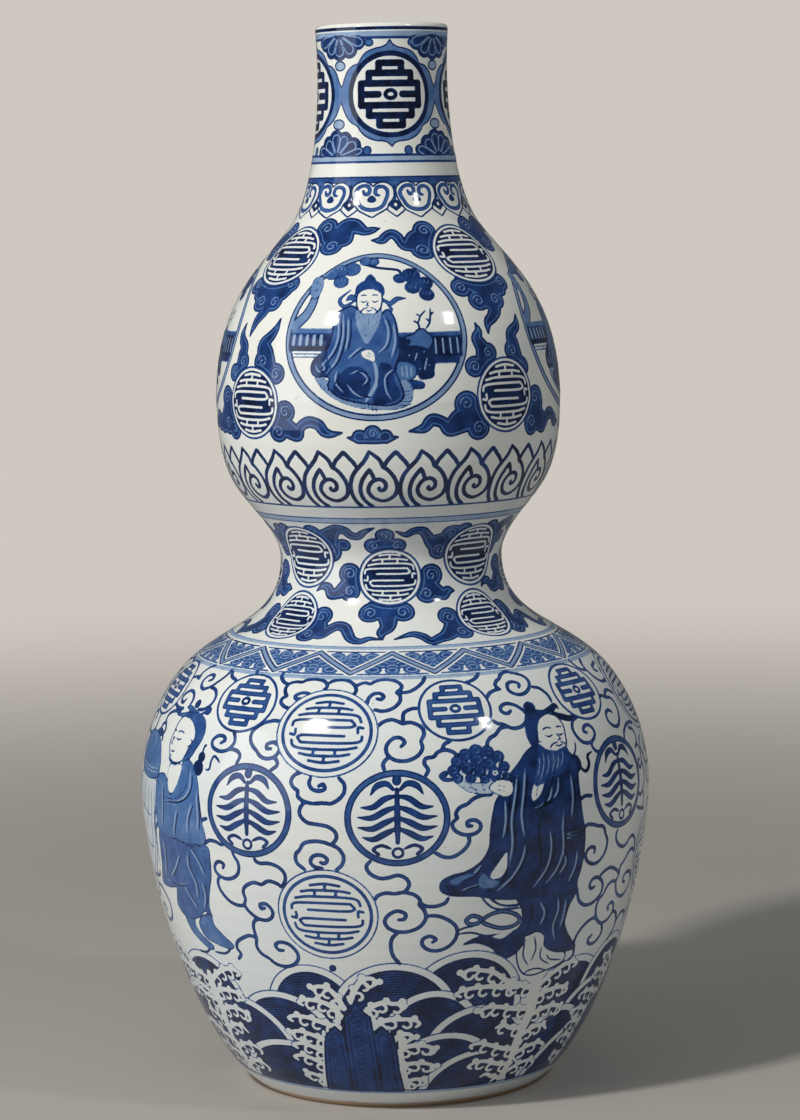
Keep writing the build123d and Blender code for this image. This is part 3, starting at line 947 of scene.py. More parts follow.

# The belly's scrolls and roundels
# A net of scrolling stems with curled ends fills the white between the roundels. Stems are
# one stroke each of a medium brush, a little thinner at their ends.
SCROLL_BRUSH = 2.3
SCROLL_INK = 0.82
SIDE_COLUMN = 98.1  # degrees round to the next column of fret roundels
FRET_SCROLLS = (-23, 16)  # a scroll that starts between these is drawn at that column too
SCROLLS = [
    [(-32.3, 294.5), (-32, 291), (-30.5, 287.5), (-28.8, 285.8)],
    [(-28.8, 285.8), (-28, 287.4), (-26.5, 288.3), (-24.9, 288)],
    [(-24.9, 288), (-23.8, 289.9), (-21.5, 290.9), (-19, 289.8), (-17.7, 287.3), (-17.6, 284.6),
     (-18.8, 281.5)],
    [(-28.8, 285.8), (-29.1, 283), (-28.7, 280), (-27.8, 277.4)],
    [(-27.8, 277.4), (-28.9, 275.8), (-28.9, 273), (-27.5, 270.3), (-25.5, 269.3), (-23.5, 269.6)],
    [(-20.3, 277.4), (-22, 280), (-24, 280.2), (-25.5, 278), (-25, 275.9), (-23.9, 276.4)],
    [(-17.5, 287.6), (-16.5, 289.6), (-14.5, 290.9), (-12.5, 290.5), (-10.8, 288.5),
     (-9.8, 285.5), (-9.5, 282.6), (-9.9, 280.3)],
    [(-9.6, 286.2), (-8.6, 288), (-7.2, 288.8), (-5.9, 287.6)],
    [(-5.9, 287.6), (-4.6, 290), (-2, 291.3), (0.4, 290.2), (2, 287.6), (2.3, 284.6),
     (0.9, 281.3)],
    [(0.9, 281.3), (1.8, 279), (1.7, 275), (0.3, 271.2), (-1.5, 269.2), (-3.2, 269), (-4.4, 270)],
    [(-6.4, 273.5), (-6.1, 277.5), (-4.9, 280.5), (-3.3, 280.9), (-2.3, 278.7), (-2.9, 276.6),
     (-4, 277.2)],
    [(-27, 260.3), (-29, 261.2), (-31.4, 259.8)],
    [(-31.4, 259.8), (-33.2, 257), (-34.6, 252.6), (-34.4, 247.8), (-33.4, 244.4), (-32.2, 242)],
    [(-32.2, 242), (-31.2, 239.4), (-29.6, 237.9), (-27.7, 238.9), (-26.6, 242), (-26.7, 245.6),
     (-28.2, 247.9), (-29.8, 246.4), (-29.7, 244), (-28.6, 244)],
    [(-27.6, 239), (-26.6, 237), (-26.6, 234), (-28, 231.2)],
    [(-40, 252), (-39.2, 249.5), (-38.9, 246), (-39.7, 242.4), (-41.2, 240), (-43.4, 239.6),
     (-45.4, 241.8), (-45.8, 245.2), (-44.4, 248.4), (-42.6, 248.6), (-41.8, 246.4),
     (-43, 244.4)],
    [(-40.8, 240.6), (-39.3, 241.6), (-37.5, 240.8), (-36.5, 238), (-37.2, 232.8)],
    [(-41.8, 294.6), (-41, 291.4)],
    [(-20.3, 231.5), (-22, 229.5), (-22.8, 225.8), (-22.2, 222.4), (-21, 220.4)],
    [(-21, 220.4), (-21, 217), (-19.6, 214.4), (-17.6, 213.2)],
    [(-17.6, 213.2), (-15.4, 213.8), (-13.6, 213.4)],
    [(-13.6, 213.4), (-12, 216), (-10.8, 220), (-10.8, 225), (-12, 228.6)],
    [(-18.3, 228), (-18.6, 225), (-17.9, 221.8), (-16.4, 220.6), (-15, 222), (-15.4, 224.6),
     (-16.4, 223.6)],
    [(-19.4, 214.2), (-20.4, 210.6), (-20.5, 206.5), (-19, 202.3), (-16.6, 201.2), (-14.4, 200.2),
     (-12.7, 196.8), (-12.6, 192.8), (-13.7, 189.3)],
    [(-13.7, 189.3), (-15.4, 190.8), (-17.6, 191.2), (-19.8, 189.6), (-20.7, 185.8)],
    [(-20.7, 185.8), (-21.8, 182.4), (-21.6, 177.6), (-19.9, 173.8)],
    [(-13.7, 189.3), (-12.1, 187.2), (-11.1, 182.5), (-11.5, 177.6), (-13, 173.8)],
    [(-15.8, 174.8), (-17.8, 176), (-18.5, 179), (-17.7, 182.4), (-16, 183), (-14.7, 180.6),
     (-15.3, 178), (-16.3, 178.6)],
    [(-32, 179.6), (-31.8, 176.8), (-30.6, 175.6), (-28.4, 175.9), (-26.3, 174.4), (-24.9, 171),
     (-24.7, 166.6), (-25.6, 162.2)],
    [(-25.6, 161.6), (-27, 164), (-29, 164.9), (-30.8, 162.2)],
    [(-30.8, 162.2), (-33, 163), (-35.4, 159.8), (-36.1, 156), (-35.7, 151.8)],
    [(-35.7, 151.8), (-36.2, 147.6), (-34.8, 143), (-32.6, 140), (-30.4, 140), (-29, 143),
     (-29, 147), (-30.4, 150.3), (-32, 149.4), (-31.8, 147), (-30.8, 147.4)],
    [(-32.8, 140.2), (-34.3, 138), (-34.8, 133.6), (-34.4, 127.2)],
    [(-34.4, 127.2), (-34.9, 122), (-34, 117.4), (-31.8, 114.4)],
    [(-31.8, 114.4), (-30.4, 111.6), (-28, 110.2), (-25.5, 111.8), (-24, 115.8), (-24, 120.4),
     (-25.7, 125.2), (-28, 126.3), (-29.5, 124), (-28.8, 121), (-27.5, 121)],
    [(-34.4, 127.2), (-36.4, 128.2), (-38.6, 126), (-40.6, 122.8), (-41.3, 118.5), (-40.4, 114.6),
     (-41.6, 111)],
    [(-45.8, 183.4), (-44.4, 185.6), (-42.4, 185.4), (-41.3, 184.2)],
    [(-41.3, 184.2), (-39.6, 184.2), (-38, 181.4), (-37.6, 178.4)],
    [(-37.6, 178.4), (-36.5, 173.8), (-36.9, 167.6), (-38.8, 164), (-41.2, 163.2), (-43.3, 165.8),
     (-43.7, 170), (-42.4, 173.2), (-40.8, 172.2), (-41.2, 169.6)],
    [(-42.6, 164.2), (-43.4, 160), (-42.8, 154.6), (-40.8, 149.4), (-38.4, 147.2), (-36.4, 147.6)],
    [(-45, 198.6), (-46.4, 197.3)],
    [(-5.3, 180.2), (-6.3, 176.6), (-5.5, 172.2), (-3.4, 169.4), (-1.4, 169.9), (0.3, 171.2),
     (2, 169.4), (2.8, 165.6), (2, 161.4), (0.4, 159.8)],
    [(-4.9, 155.4), (-4.2, 158.4), (-2.4, 160.3), (-0.4, 159.7)],
    [(-0.4, 159.7), (1.6, 160.5), (3.8, 159), (5.1, 155.6), (4.9, 152.4)],
    [(4.9, 152.4), (6.1, 148.6), (6.4, 143.6), (5.1, 138.6), (2.6, 135.8), (0, 135.9),
     (-2, 138.4), (-2.7, 142.8), (-1.6, 147), (0.2, 149), (1.9, 147), (1.7, 143.8), (0.4, 143.4)],
    [(5.1, 154), (6.2, 151.8), (8.4, 151.1), (10.6, 152.8), (11.3, 155.6)],
    [(6.5, 145.2), (9, 145), (11.6, 141.8), (13.4, 137), (13.5, 131), (12, 125.4), (9.4, 122.6),
     (7, 123.6), (5.6, 127.4), (6, 131), (7.5, 132.2), (8.8, 130), (8, 128.2)],
    [(0.3, 135.5), (-1.1, 131.8), (-1.5, 126.4), (-1, 120), (0.5, 114.8)],
    [(21, 216.2), (18.8, 216.2), (16.8, 214.4), (15.6, 211.8)],
    [(15.6, 211.8), (13.8, 210), (12.9, 206.6), (13.3, 204)],
    [(13.3, 204), (12.1, 201), (12.6, 197), (14.3, 194.2), (16.4, 193.7), (18, 195.8),
     (18.3, 199.4), (17, 202.2), (15.4, 201.4), (15.4, 199), (16.4, 198.8)],
    [(15.4, 193.6), (15.8, 190), (14.8, 185.4), (12.6, 181.4), (10.4, 181.2), (8.2, 184.4)],
    [(8.8, 292.4), (8, 288.4), (6, 284), (3.8, 281.4), (0.9, 281.3)],
    [(24.4, 292.9), (23.3, 290), (21.6, 287.6), (19.8, 286.6)],
    [(6.5, 270.2), (4.4, 270), (2.6, 267.6), (2.3, 264), (2.4, 260.6)],
    [(-3.6, 259.4), (-2.4, 262), (-0.4, 263.4), (1.2, 262), (2, 260.6)],
    [(2, 260.6), (4, 261.4), (6.2, 258.8), (7, 254.6), (6.1, 249.6)],
    [(6.1, 249.6), (6.4, 245.6), (5.2, 241), (2.8, 238.4), (0.2, 239), (-1.5, 242.6),
     (-1.6, 247.6), (-0.2, 251.6), (1.4, 252.2), (2.5, 249.4), (1.6, 246.8)],
    [(-1.3, 240.6), (-2.4, 236.8), (-2, 232.4)],
    [(12.9, 249), (11.4, 247.4), (11, 244.6), (12.2, 243.6)],
    [(8.8, 240), (9.8, 242.9), (11.6, 243.9), (13.4, 242), (14.4, 238.4)],
    [(8.8, 240), (7, 239.4), (6.6, 236.4), (7.4, 232.6), (6.6, 228.8)],
    [(12.4, 226.3), (10.8, 226.6), (10, 228.8), (11, 230.7), (11.1, 229)],
    [(24, 274.4), (25, 277.2), (26.6, 279), (28.5, 279.7)],
    [(28.3, 279.9), (27.6, 282.6), (28.6, 285.8), (29.8, 287.3)],
    [(29.8, 287.3), (30.8, 290.2), (33, 291.9), (35, 290.2)],
    [(35, 290.2), (37.2, 288), (38.3, 283.6), (37.4, 278.6), (35, 274.9), (32.6, 274.9),
     (30.9, 278), (31.2, 282.4), (33, 284), (34.8, 282), (34.2, 279.4)],
    [(24, 259.6), (24.8, 257.8), (26.4, 256.9)],
    [(26.4, 256.9), (28.4, 253.9), (31, 254.4), (33.1, 258.6), (33, 263), (31.2, 267.6),
     (28.8, 269.6), (27, 268), (26.8, 264.8), (28.2, 263.2), (29.3, 264.8)],
    [(27.6, 255.2), (25.4, 254.6), (23.8, 251), (22.4, 249.4), (21.4, 246.4), (21.4, 243)],
    [(38.4, 278.6), (40.4, 277), (42, 272), (42.2, 267.6)],
    [(48.8, 255.2), (46.6, 253.4), (45.6, 248.8), (46.2, 243.4), (47.8, 239.4), (50.2, 238.4),
     (52.2, 241), (52.8, 245.2), (51.4, 249), (49.6, 248.4), (49, 245.8), (50, 244.6)],
    [(50.4, 238.3), (50.6, 235), (51.6, 232.4), (53.2, 231.5)],
    [(44, 206.6), (45.6, 208), (47.6, 207.2)],
    [(44.8, 186.4), (45.6, 190), (47.4, 190.2), (49.8, 188.2)],
    [(49.8, 188.2), (51.8, 186.8), (52.9, 182)],
    [(52.9, 182), (53.9, 176.6), (53.2, 170), (51.2, 165.6), (48.8, 165.2), (46.7, 168.4),
     (46.3, 173), (47.6, 175.9), (49.2, 175), (49.2, 172)],
    [(44.2, 153.6), (44.9, 149.2)],
    [(44.9, 149.2), (45.8, 143.6), (48, 139.6), (50.6, 139.2), (53, 141.8), (54.4, 146.6),
     (53.8, 151.6), (51.8, 155.3), (49.8, 155.2), (48.9, 151.6), (49.8, 149.2), (50.9, 149.8)],
    [(52.2, 155.2), (54.2, 158.2), (56.6, 159.2), (59.4, 156.8), (61.8, 152.6)],
    [(61.8, 152.6), (61.6, 157), (64, 161.2)],
    [(64, 161.2), (65.4, 164.2), (67.4, 165.8), (69.4, 163.6), (70.2, 160.6)],
    [(61.8, 152.6), (60.7, 148.6), (61.4, 142.6), (63.6, 138), (66.4, 136.4), (69, 138.8),
     (70.3, 143.6), (69.6, 149), (67.4, 151.6), (65.2, 150.6), (64.7, 147), (66.2, 145)],
    [(60.8, 148.2), (58.6, 149.6), (56.6, 147.6), (55.4, 143.2)],
    [(55.4, 143.2), (53.5, 139.6), (53.2, 133.4), (54.6, 127), (57.2, 123.3), (60, 124.2),
     (62, 128), (61.8, 133), (60, 135.4), (58.7, 133), (59.4, 130.8)],
    [(47.4, 111.6), (46.9, 116.4), (48, 122.4), (50.4, 127.2), (53, 128.8), (55, 126.4)],
    [(57.4, 122.4), (58.4, 118.4), (57.8, 113.8), (55.6, 111), (53.4, 111.8), (52.5, 115),
     (53.8, 117.2)],
    [(47.4, 111.6), (47.6, 107), (46.4, 104.6)],
    [(62.2, 128.6), (64.4, 126.4), (66, 121), (65.6, 114.4), (63.4, 109.4)],
    [(58, 182), (57.5, 178.4), (58.6, 173.6), (60.8, 170.4), (63, 170.4), (65.4, 174),
     (67.6, 173.8), (69.2, 170), (69.4, 166)],
    [(68.4, 191.6), (70.4, 189.6), (73, 188.4)],
    [(60.4, 292), (61, 286.6), (62.4, 283.6), (64.4, 282.4)],
    [(67, 291), (65, 287.6), (64.4, 282.4), (65.4, 276.6), (67.8, 272.4), (70.4, 272),
     (72.6, 274)],
    [(74, 285.4), (71.8, 284.4), (69.6, 283), (69, 280.4), (70.4, 279.4)],
    [(60.2, 261.6), (61.4, 263.8), (63, 264), (64.2, 262.2)],
    [(64.2, 262.2), (66, 265.6), (68.2, 266), (70.2, 263)],
    [(64.2, 262.2), (67, 260.8), (68.1, 256), (67, 248.6), (64.6, 243.8), (62.2, 244),
     (60.3, 248), (60.6, 252.8), (62.6, 254.4), (63.9, 252.4)],
    [(65.4, 235), (66.6, 239), (69, 242), (72, 242.6), (74, 241)],
    [(-52, 292.6), (-52, 288), (-53.4, 282.6), (-55.4, 277.8), (-58, 275.4), (-60.2, 277.8),
     (-60.7, 282), (-59.4, 285.8), (-57.4, 285.8), (-56.7, 283), (-58, 281.6)],
    [(-51, 291.6), (-49.6, 287.6), (-47, 285.4)], [(-63.6, 281), (-65.6, 282.3), (-67.6, 281)],
    [(-63.6, 281), (-64.5, 285.6), (-63.4, 290.6), (-61.4, 293)],
    [(-54.8, 277.6), (-52.4, 276.4), (-50.8, 272.4), (-51, 267), (-53, 263), (-55.4, 262)],
    [(-60, 262.6), (-59.8, 267.4), (-61.2, 271.4), (-63.6, 272.4), (-65.8, 269), (-65.6, 265),
     (-64, 264), (-63.4, 266.4)],
    [(-69.8, 264.4), (-67.6, 261.4), (-65, 260), (-62.4, 260.4)],
    [(97, 226), (94, 229.5), (90.6, 228), (89.4, 222), (91, 217), (94, 216), (95.4, 220),
     (94, 223.4), (92.6, 221.6)],
    [(89.4, 222), (86.6, 218.6), (86.8, 212), (89.4, 208.4), (92.4, 207.4)],
    [(92.4, 207.4), (95, 204.6), (95.4, 198), (93, 193.4), (90.2, 194), (89, 198), (90.4, 201.6),
     (92, 200)],
    [(92.4, 207.4), (96, 209.4), (98.4, 206)],
    [(95.2, 196), (98, 192.6), (98.6, 186), (96.4, 181)],
    [(96.4, 181), (99.4, 177), (99, 170), (96, 167.4), (93.8, 171), (95, 175.4), (96.8, 173.4)],
    [(-63, 258), (-66.4, 257.4), (-69, 254.6), (-69.6, 250.6), (-68.2, 247.6)],
    [(-68.2, 247.6), (-67.6, 244), (-69.4, 241), (-72.6, 241.6)],
    [(70.2, 239.6), (72.4, 238), (73.6, 233.6), (72.8, 229.2), (71, 227)],
    [(72.8, 229.2), (74.2, 224), (73.9, 217.6), (72.5, 214), (71.1, 215.4), (71.2, 218.8),
     (72.3, 219)],
    [(73.9, 217.6), (75.1, 212), (74.8, 205), (73.2, 200), (74.4, 194), (73, 188.4),
     (74.8, 187.6)],
    [(73.2, 200), (71.2, 197.8), (69.4, 199.4)],
    [(65.9, 119), (68.4, 124), (71.2, 123.8), (73, 120.4), (72.4, 116)],
    [(73, 120.4), (75.4, 125.4), (79, 127), (82.4, 124.4), (83.4, 119), (81.4, 114.8),
     (78.6, 115), (77.4, 118.6), (78.8, 121.4), (80.4, 120)],
    [(82.9, 122), (85.4, 126.2), (88.6, 127.2), (91.4, 124.4), (91.8, 119.6), (90, 116.8),
     (88.2, 118.6), (89, 121.2)],
    [(91.4, 124.4), (93.8, 127.4), (96.6, 127)],
]
# degrees and place of each roundel's middle, and its half width and half height
FRET_ROUNDELS = [
    (-15.7, 256, 30.6, 27.2), (-15.7, 146, 30.5, 28), (82.4, 262, 29, 27), (80.6, 160, 29, 27.5),
]
LATTICE_ROUNDELS = [
    (-39.5, 272, 21.5, 19.6), (15.2, 269, 21.6, 19.8), (53.4, 272, 21.5, 19.6),
    (104, 272, 21.5, 19.6),
]
LEAF_ROUNDELS = [(-33.5, 206.5, 28.6, 26), (0.5, 205, 29, 26.4), (59.5, 211, 28.6, 26)]
LEAF_STROKES = [
    [(0, 9.4, 1.2), (-5, 8.2, 2.5), (-10, 4.8, 2.4), (-15, 4.6, 0.6)],
    [(0, 5, 1.2), (-5, 3.2, 2.6), (-10.5, 0.4, 2.5), (-16.4, 0.6, 0.6)],
    [(0, 0.6, 1.2), (-5, -1.6, 2.6), (-10.5, -4.2, 2.5), (-16.4, -3.6, 0.6)],
    [(0, -3.8, 1.2), (-5, -6.2, 2.6), (-10, -8.6, 2.4), (-14.6, -7.8, 0.6)],
    [(-1.5, 12, 1.4), (-4.4, 14.4, 2.4), (-8.4, 13.4, 2.6), (-11, 9.8, 0.6)],
]
LEAF_HOOK = [(-2.8, -12.6), (-6.8, -11.2), (-10.2, -12.8), (-8, -15)]
LEAF_STEM = [(0, 12, 1.6), (0, 0, 2.6), (0, -10, 1.8)]


def leaf_spray(degrees, arc, across, up):
    """A thick ring round a spray of pairs of drooping leaves, with a bud above and a small
    ring below."""
    left_white(oval(degrees, arc, across + 2, up + 2))
    wash_over(oval(degrees, arc, across, up, 3.4), 0.6)
    size = across / 20.6
    for flip in (False, True):
        for leaf in LEAF_STROKES:
            line_work(stroke(placed(leaf, degrees, arc, flip=flip, size=size)), 0.86)
        hook = placed(LEAF_HOOK, degrees, arc, flip=flip, size=size)
        line_work(stroke(hook, 2.0, (0.5, 1)), 0.86)
    line_work(stroke(placed(LEAF_STEM, degrees, arc, size=size)), 0.86)
    wash_over(oval(degrees, arc + 15.8 * size, 2.4, 2.8), 0.7)
    line_work(oval(degrees, arc - 14.4 * size, 2.9, 2.7, 1.6), 0.82)


for turn in HALVES:
    for scroll in SCROLLS:
        line_work(stroke(turned(scroll, turn), SCROLL_BRUSH, (0.8, 0.8)), SCROLL_INK)
        if FRET_SCROLLS[0] < scroll[0][0] < FRET_SCROLLS[1]:
            again = turned(scroll, turn + SIDE_COLUMN)
            line_work(stroke(again, SCROLL_BRUSH, (0.8, 0.8)), SCROLL_INK)
    line_work(oval(-15.5 + turn, 111.4, 2.2, 2.2), 0.85)
    for roundel in FRET_ROUNDELS:
        light_roundel(roundel[0] + turn, *roundel[1:])
    for roundel in LATTICE_ROUNDELS:
        lattice_roundel(roundel[0] + turn, *roundel[1:])
    for roundel in LEAF_ROUNDELS:
        leaf_spray(roundel[0] + turn, *roundel[1:])

# The painted pictures' parts
# Every picture is built the same way: bare clay under a part, a wash of thinned cobalt,
# a dark outline with a fine brush, and pale folds left in the wash.


def part(points, depth, turn=0, outline=0.9, straight=False):
    """A part of a picture, with everything under it wiped: its wash and its outline."""
    shape = area(turned(points, turn), straight)
    left_white(shape)
    if depth:
        wash_over(shape, depth, rim=0)
    line_work(edge_of(shape, outline), 0.9)


def folds(lines, width, turn=0, ink=None):
    """Lines of cloth, hair or a face: pale in a wash, or dark where they have an ink."""
    for points in lines:
        shape = stroke(turned(points, turn), width, (0.35, 0.35))
        if ink:
            line_work(shape, ink)
        else:
            pale_line(shape)


def cloth(lines, width, turn, ink=0.96, beside=0.8):
    """Folds of cloth: each is left pale in the wash, with a dark line some degrees beside it."""
    folds([np.add(points, (beside, 0)) for points in lines], width, turn, ink)
    folds(lines, width, turn)


# The bulb's round pictures
# A bearded elder in a soft cap sits on a fringed mat before a garden fence, between a pine
# branch and a deer by a rock. The face is a plain one: calm, with lowered lids.
PICTURE_MIDDLE = (-4.0, 530.3)
PICTURE_HALF = (54.0, 51.2)
PINE = [
    (-14.3, 571.5, 5), (-19, 570.4, 4.6), (-22.6, 568, 4), (-18, 562.6, 4.4), (5.6, 564.4, 3.4),
    (10.4, 566.4, 5.4), (15.6, 560.8, 4.6), (10.4, 558, 4.4), (15.6, 553, 4.4),
    (-8.6, 577.4, 3.4), (-5, 576.8, 2.8),
]
BRANCHES = [
    [(-27, 566, 3), (-27.6, 550, 5), (-29.4, 541, 6), (-33.2, 534, 7)],
    [(-8.4, 574.8, 1.4), (-3, 572.4, 1.2), (5, 570.6, 1.2), (6.2, 568, 1)],
]
ELDER_ROBE = [
    (-16, 543.5), (-12, 546), (-8, 541), (-2, 541), (0.5, 543.5), (3, 537), (3.9, 525), (4, 515),
    (2.5, 508), (4, 500), (5, 491), (1, 486.5), (-8, 488), (-15, 491), (-19, 497), (-19, 503),
    (-24, 504), (-25.2, 509), (-24, 514), (-20, 520), (-18.5, 530), (-18, 540),
]
ELDER_MAT = [
    (-23.5, 503), (-21, 496), (-17, 490.5), (-11, 486), (-4, 484), (4, 484.5), (7.6, 489),
    (7.6, 498), (4, 501), (-6, 494), (-16, 499),
]
ELDER_FOLDS = [
    [(-17, 540), (-16.4, 528), (-18, 518), (-22, 509)],
    [(-15.2, 541), (-14.8, 527), (-16.4, 514), (-20, 505)],
    [(-24, 511), (-22.6, 506.6), (-20.6, 508), (-21.6, 512.6)],
    [(-13.4, 540), (-13, 528), (-13.8, 518)], [(-12.8, 514), (-9.4, 519.4), (-7.6, 519.6)],
    [(-1, 540), (0.6, 531), (-0.2, 522), (-3, 517)], [(2.4, 535), (2.8, 524), (1.4, 514)],
    [(-12, 505), (-9, 506.4), (-6.4, 502), (-8, 498)], [(-16.4, 507), (-16.8, 500), (-14, 494)],
    [(2.4, 508), (-0.6, 503), (-0.4, 495), (1.4, 489)], [(-13, 499), (-10, 493), (-5, 490.6)],
]
# darker places of the robe: the sleeve's lining, the lap and the hem
ELDER_SHADES = [
    [(-20.4, 519), (-23.4, 514), (-24.6, 509.4), (-23.6, 505), (-19.6, 504), (-18.4, 508),
     (-19.6, 513)],
    [(-15.6, 503), (-12, 509), (-7.4, 507.6), (-5.6, 500), (-7, 491.6), (-12, 491), (-17.4, 495)],
    [(-2, 511), (1.6, 508.4), (2.4, 500), (3.8, 491.8), (0, 488), (-4.4, 488.4), (-3, 498)],
]
ELDER_SASH = [(-5, 516, 1.4), (-3.6, 508, 2), (-3.4, 500, 2.2), (-5.4, 493, 2), (-7, 488.6, 1)]
ELDER_BEARD = [
    (-10.7, 544), (-8.4, 541), (-6.1, 541.4), (-3.7, 541), (-1.5, 544), (-2.2, 536), (-4, 529),
    (-6.6, 522.4), (-9, 529), (-10.5, 536),
]
ELDER_FACE = [
    (-10.5, 556), (-8.6, 559.6), (-6.1, 560.6), (-3.5, 559.6), (-1.7, 556), (-1.4, 549),
    (-2.2, 544), (-4, 541), (-6.1, 540), (-8.2, 541), (-10, 544), (-10.8, 549),
]
ELDER_CAP = [
    (-11.4, 553.4), (-10.8, 560), (-6.1, 564), (-1.4, 560), (-0.8, 553.4), (-3.3, 556.6),
    (-6.1, 557.6), (-9, 556.6),
]
ELDER_LINES = [
    [(-9.4, 549.4), (-8.2, 548.6), (-7, 549.5)], [(-5.2, 549.5), (-4, 548.6), (-2.8, 549.4)],
    [(-9.6, 552.6), (-8.3, 553.5), (-7, 553)], [(-5.2, 553), (-3.9, 553.5), (-2.6, 552.6)],
    [(-6.5, 549), (-6.8, 546.4), (-5.6, 546.1)], [(-7.2, 543.4), (-6.1, 543), (-5, 543.4)],
    [(-6.5, 545.1), (-8, 544.4), (-9.2, 542.2)], [(-5.7, 545.1), (-4.2, 544.4), (-3, 542.2)],
]
BEARD_LINES = [
    [(-9.6, 541.5), (-8.9, 534), (-7.2, 527)], [(-7.8, 541), (-7.5, 534), (-6.8, 526)],
    [(-6.1, 541), (-6.2, 532), (-6.5, 525)], [(-4.4, 541), (-4.8, 534), (-6, 527)],
    [(-2.7, 541.5), (-3.4, 535), (-5, 529)],
]
ELDER_RIBBONS = [
    [(-11, 550, 2.4), (-13, 552, 4), (-14.6, 550, 1)],
    [(-12, 549, 1.4), (-15.4, 546, 2.4), (-17.2, 550.6, 2.2), (-13.4, 557, 0.6)],
    [(-1, 550, 2), (1.6, 547.6, 2.8), (4, 550.4, 3.2), (7.4, 550.8, 0.7)],
    [(0.6, 547, 1), (2, 543.6, 1.8), (1, 541, 0.8)],
]
DEER = [
    (6.4, 519), (8, 524), (6.6, 525), (6.2, 526.6), (9, 528), (10.6, 530.6), (12.6, 531),
    (14, 528.6), (15.6, 525), (14.8, 521), (12, 517),
]
ANTLERS = [
    [(11.3, 531), (11, 534.4), (9.2, 536.4)], [(11, 534.4), (12, 539), (14.2, 542.8)],
    [(12, 539), (10.6, 540.4)], [(13.5, 531), (15.2, 535.4), (16, 544)],
    [(15.2, 535.4), (13.9, 537.6)], [(15.6, 539.6), (17, 541.6)],
]
ROCKS = [
    ([(4.2, 512), (5, 518), (8, 521), (13, 519.4), (15.6, 513), (15.2, 507), (14.8, 502.6),
      (11, 501.4), (9.4, 505), (5, 507)], 0.9),
    ([(3.4, 511), (6, 511.6), (9, 509), (9, 503), (6, 500.4), (3, 502)], 0.45),
    ([(2, 500), (8, 500.6), (11.6, 499), (11.3, 496), (8, 495.4), (7, 490), (3, 491), (1.5, 495)],
     0.75),
]
TRUNK_KNOT = [(-29.8, 565), (-26.4, 566), (-25.4, 560), (-26, 553), (-28.4, 551.6), (-30.4, 557)]
KNOT_LINES = [
    [(-28.8, 561), (-27.6, 563)], [(-27, 558), (-28.6, 556)], [(-27, 562), (-26.4, 560)],
]
FENCE_RAILS = [[(-33.6, 516.8), (-20.6, 516.8)], [(-33.2, 515), (-21, 515)]]
ROCK_LINES = [
    [(5, 503), (4.6, 509)], [(6.4, 502), (6.2, 510)], [(7.8, 503), (7.6, 509)],
    [(9, 512), (10, 517)], [(12, 506), (13.2, 514)], [(10.4, 507), (10.8, 508)],
    [(7, 515), (7.6, 516)], [(12, 517), (12.6, 517.6)], [(13.6, 509), (14, 510)],
]
ELDER_HAND = [(-8.4, 518), (-6, 519.6), (-4, 517), (-4, 512), (-6, 513), (-8, 515)]
ELDER_FINGERS = [[(-7, 516.6), (-5.2, 514.4)], [(-6.4, 518), (-4.6, 515.6)]]
CAP_KNOT = [(-8, 563.6), (-6.1, 567.6), (-4.2, 563.6)]
# left and right end of each strip of fence, its lowest and highest place, and its strength
FENCE = [
    ((-34.4, -18.4), (521, 529), 0.8), ((-34.4, -18.4), (529, 531.8), 0.4),
    ((-34, -18.4), (518.8, 521), 0.95), ((3.5, 25.4), (514.6, 526.6), 0.92),
    ((3.5, 25.6), (526.6, 528.8), 0.6), ((3.6, 24), (510.6, 514.4), 0.8),
]


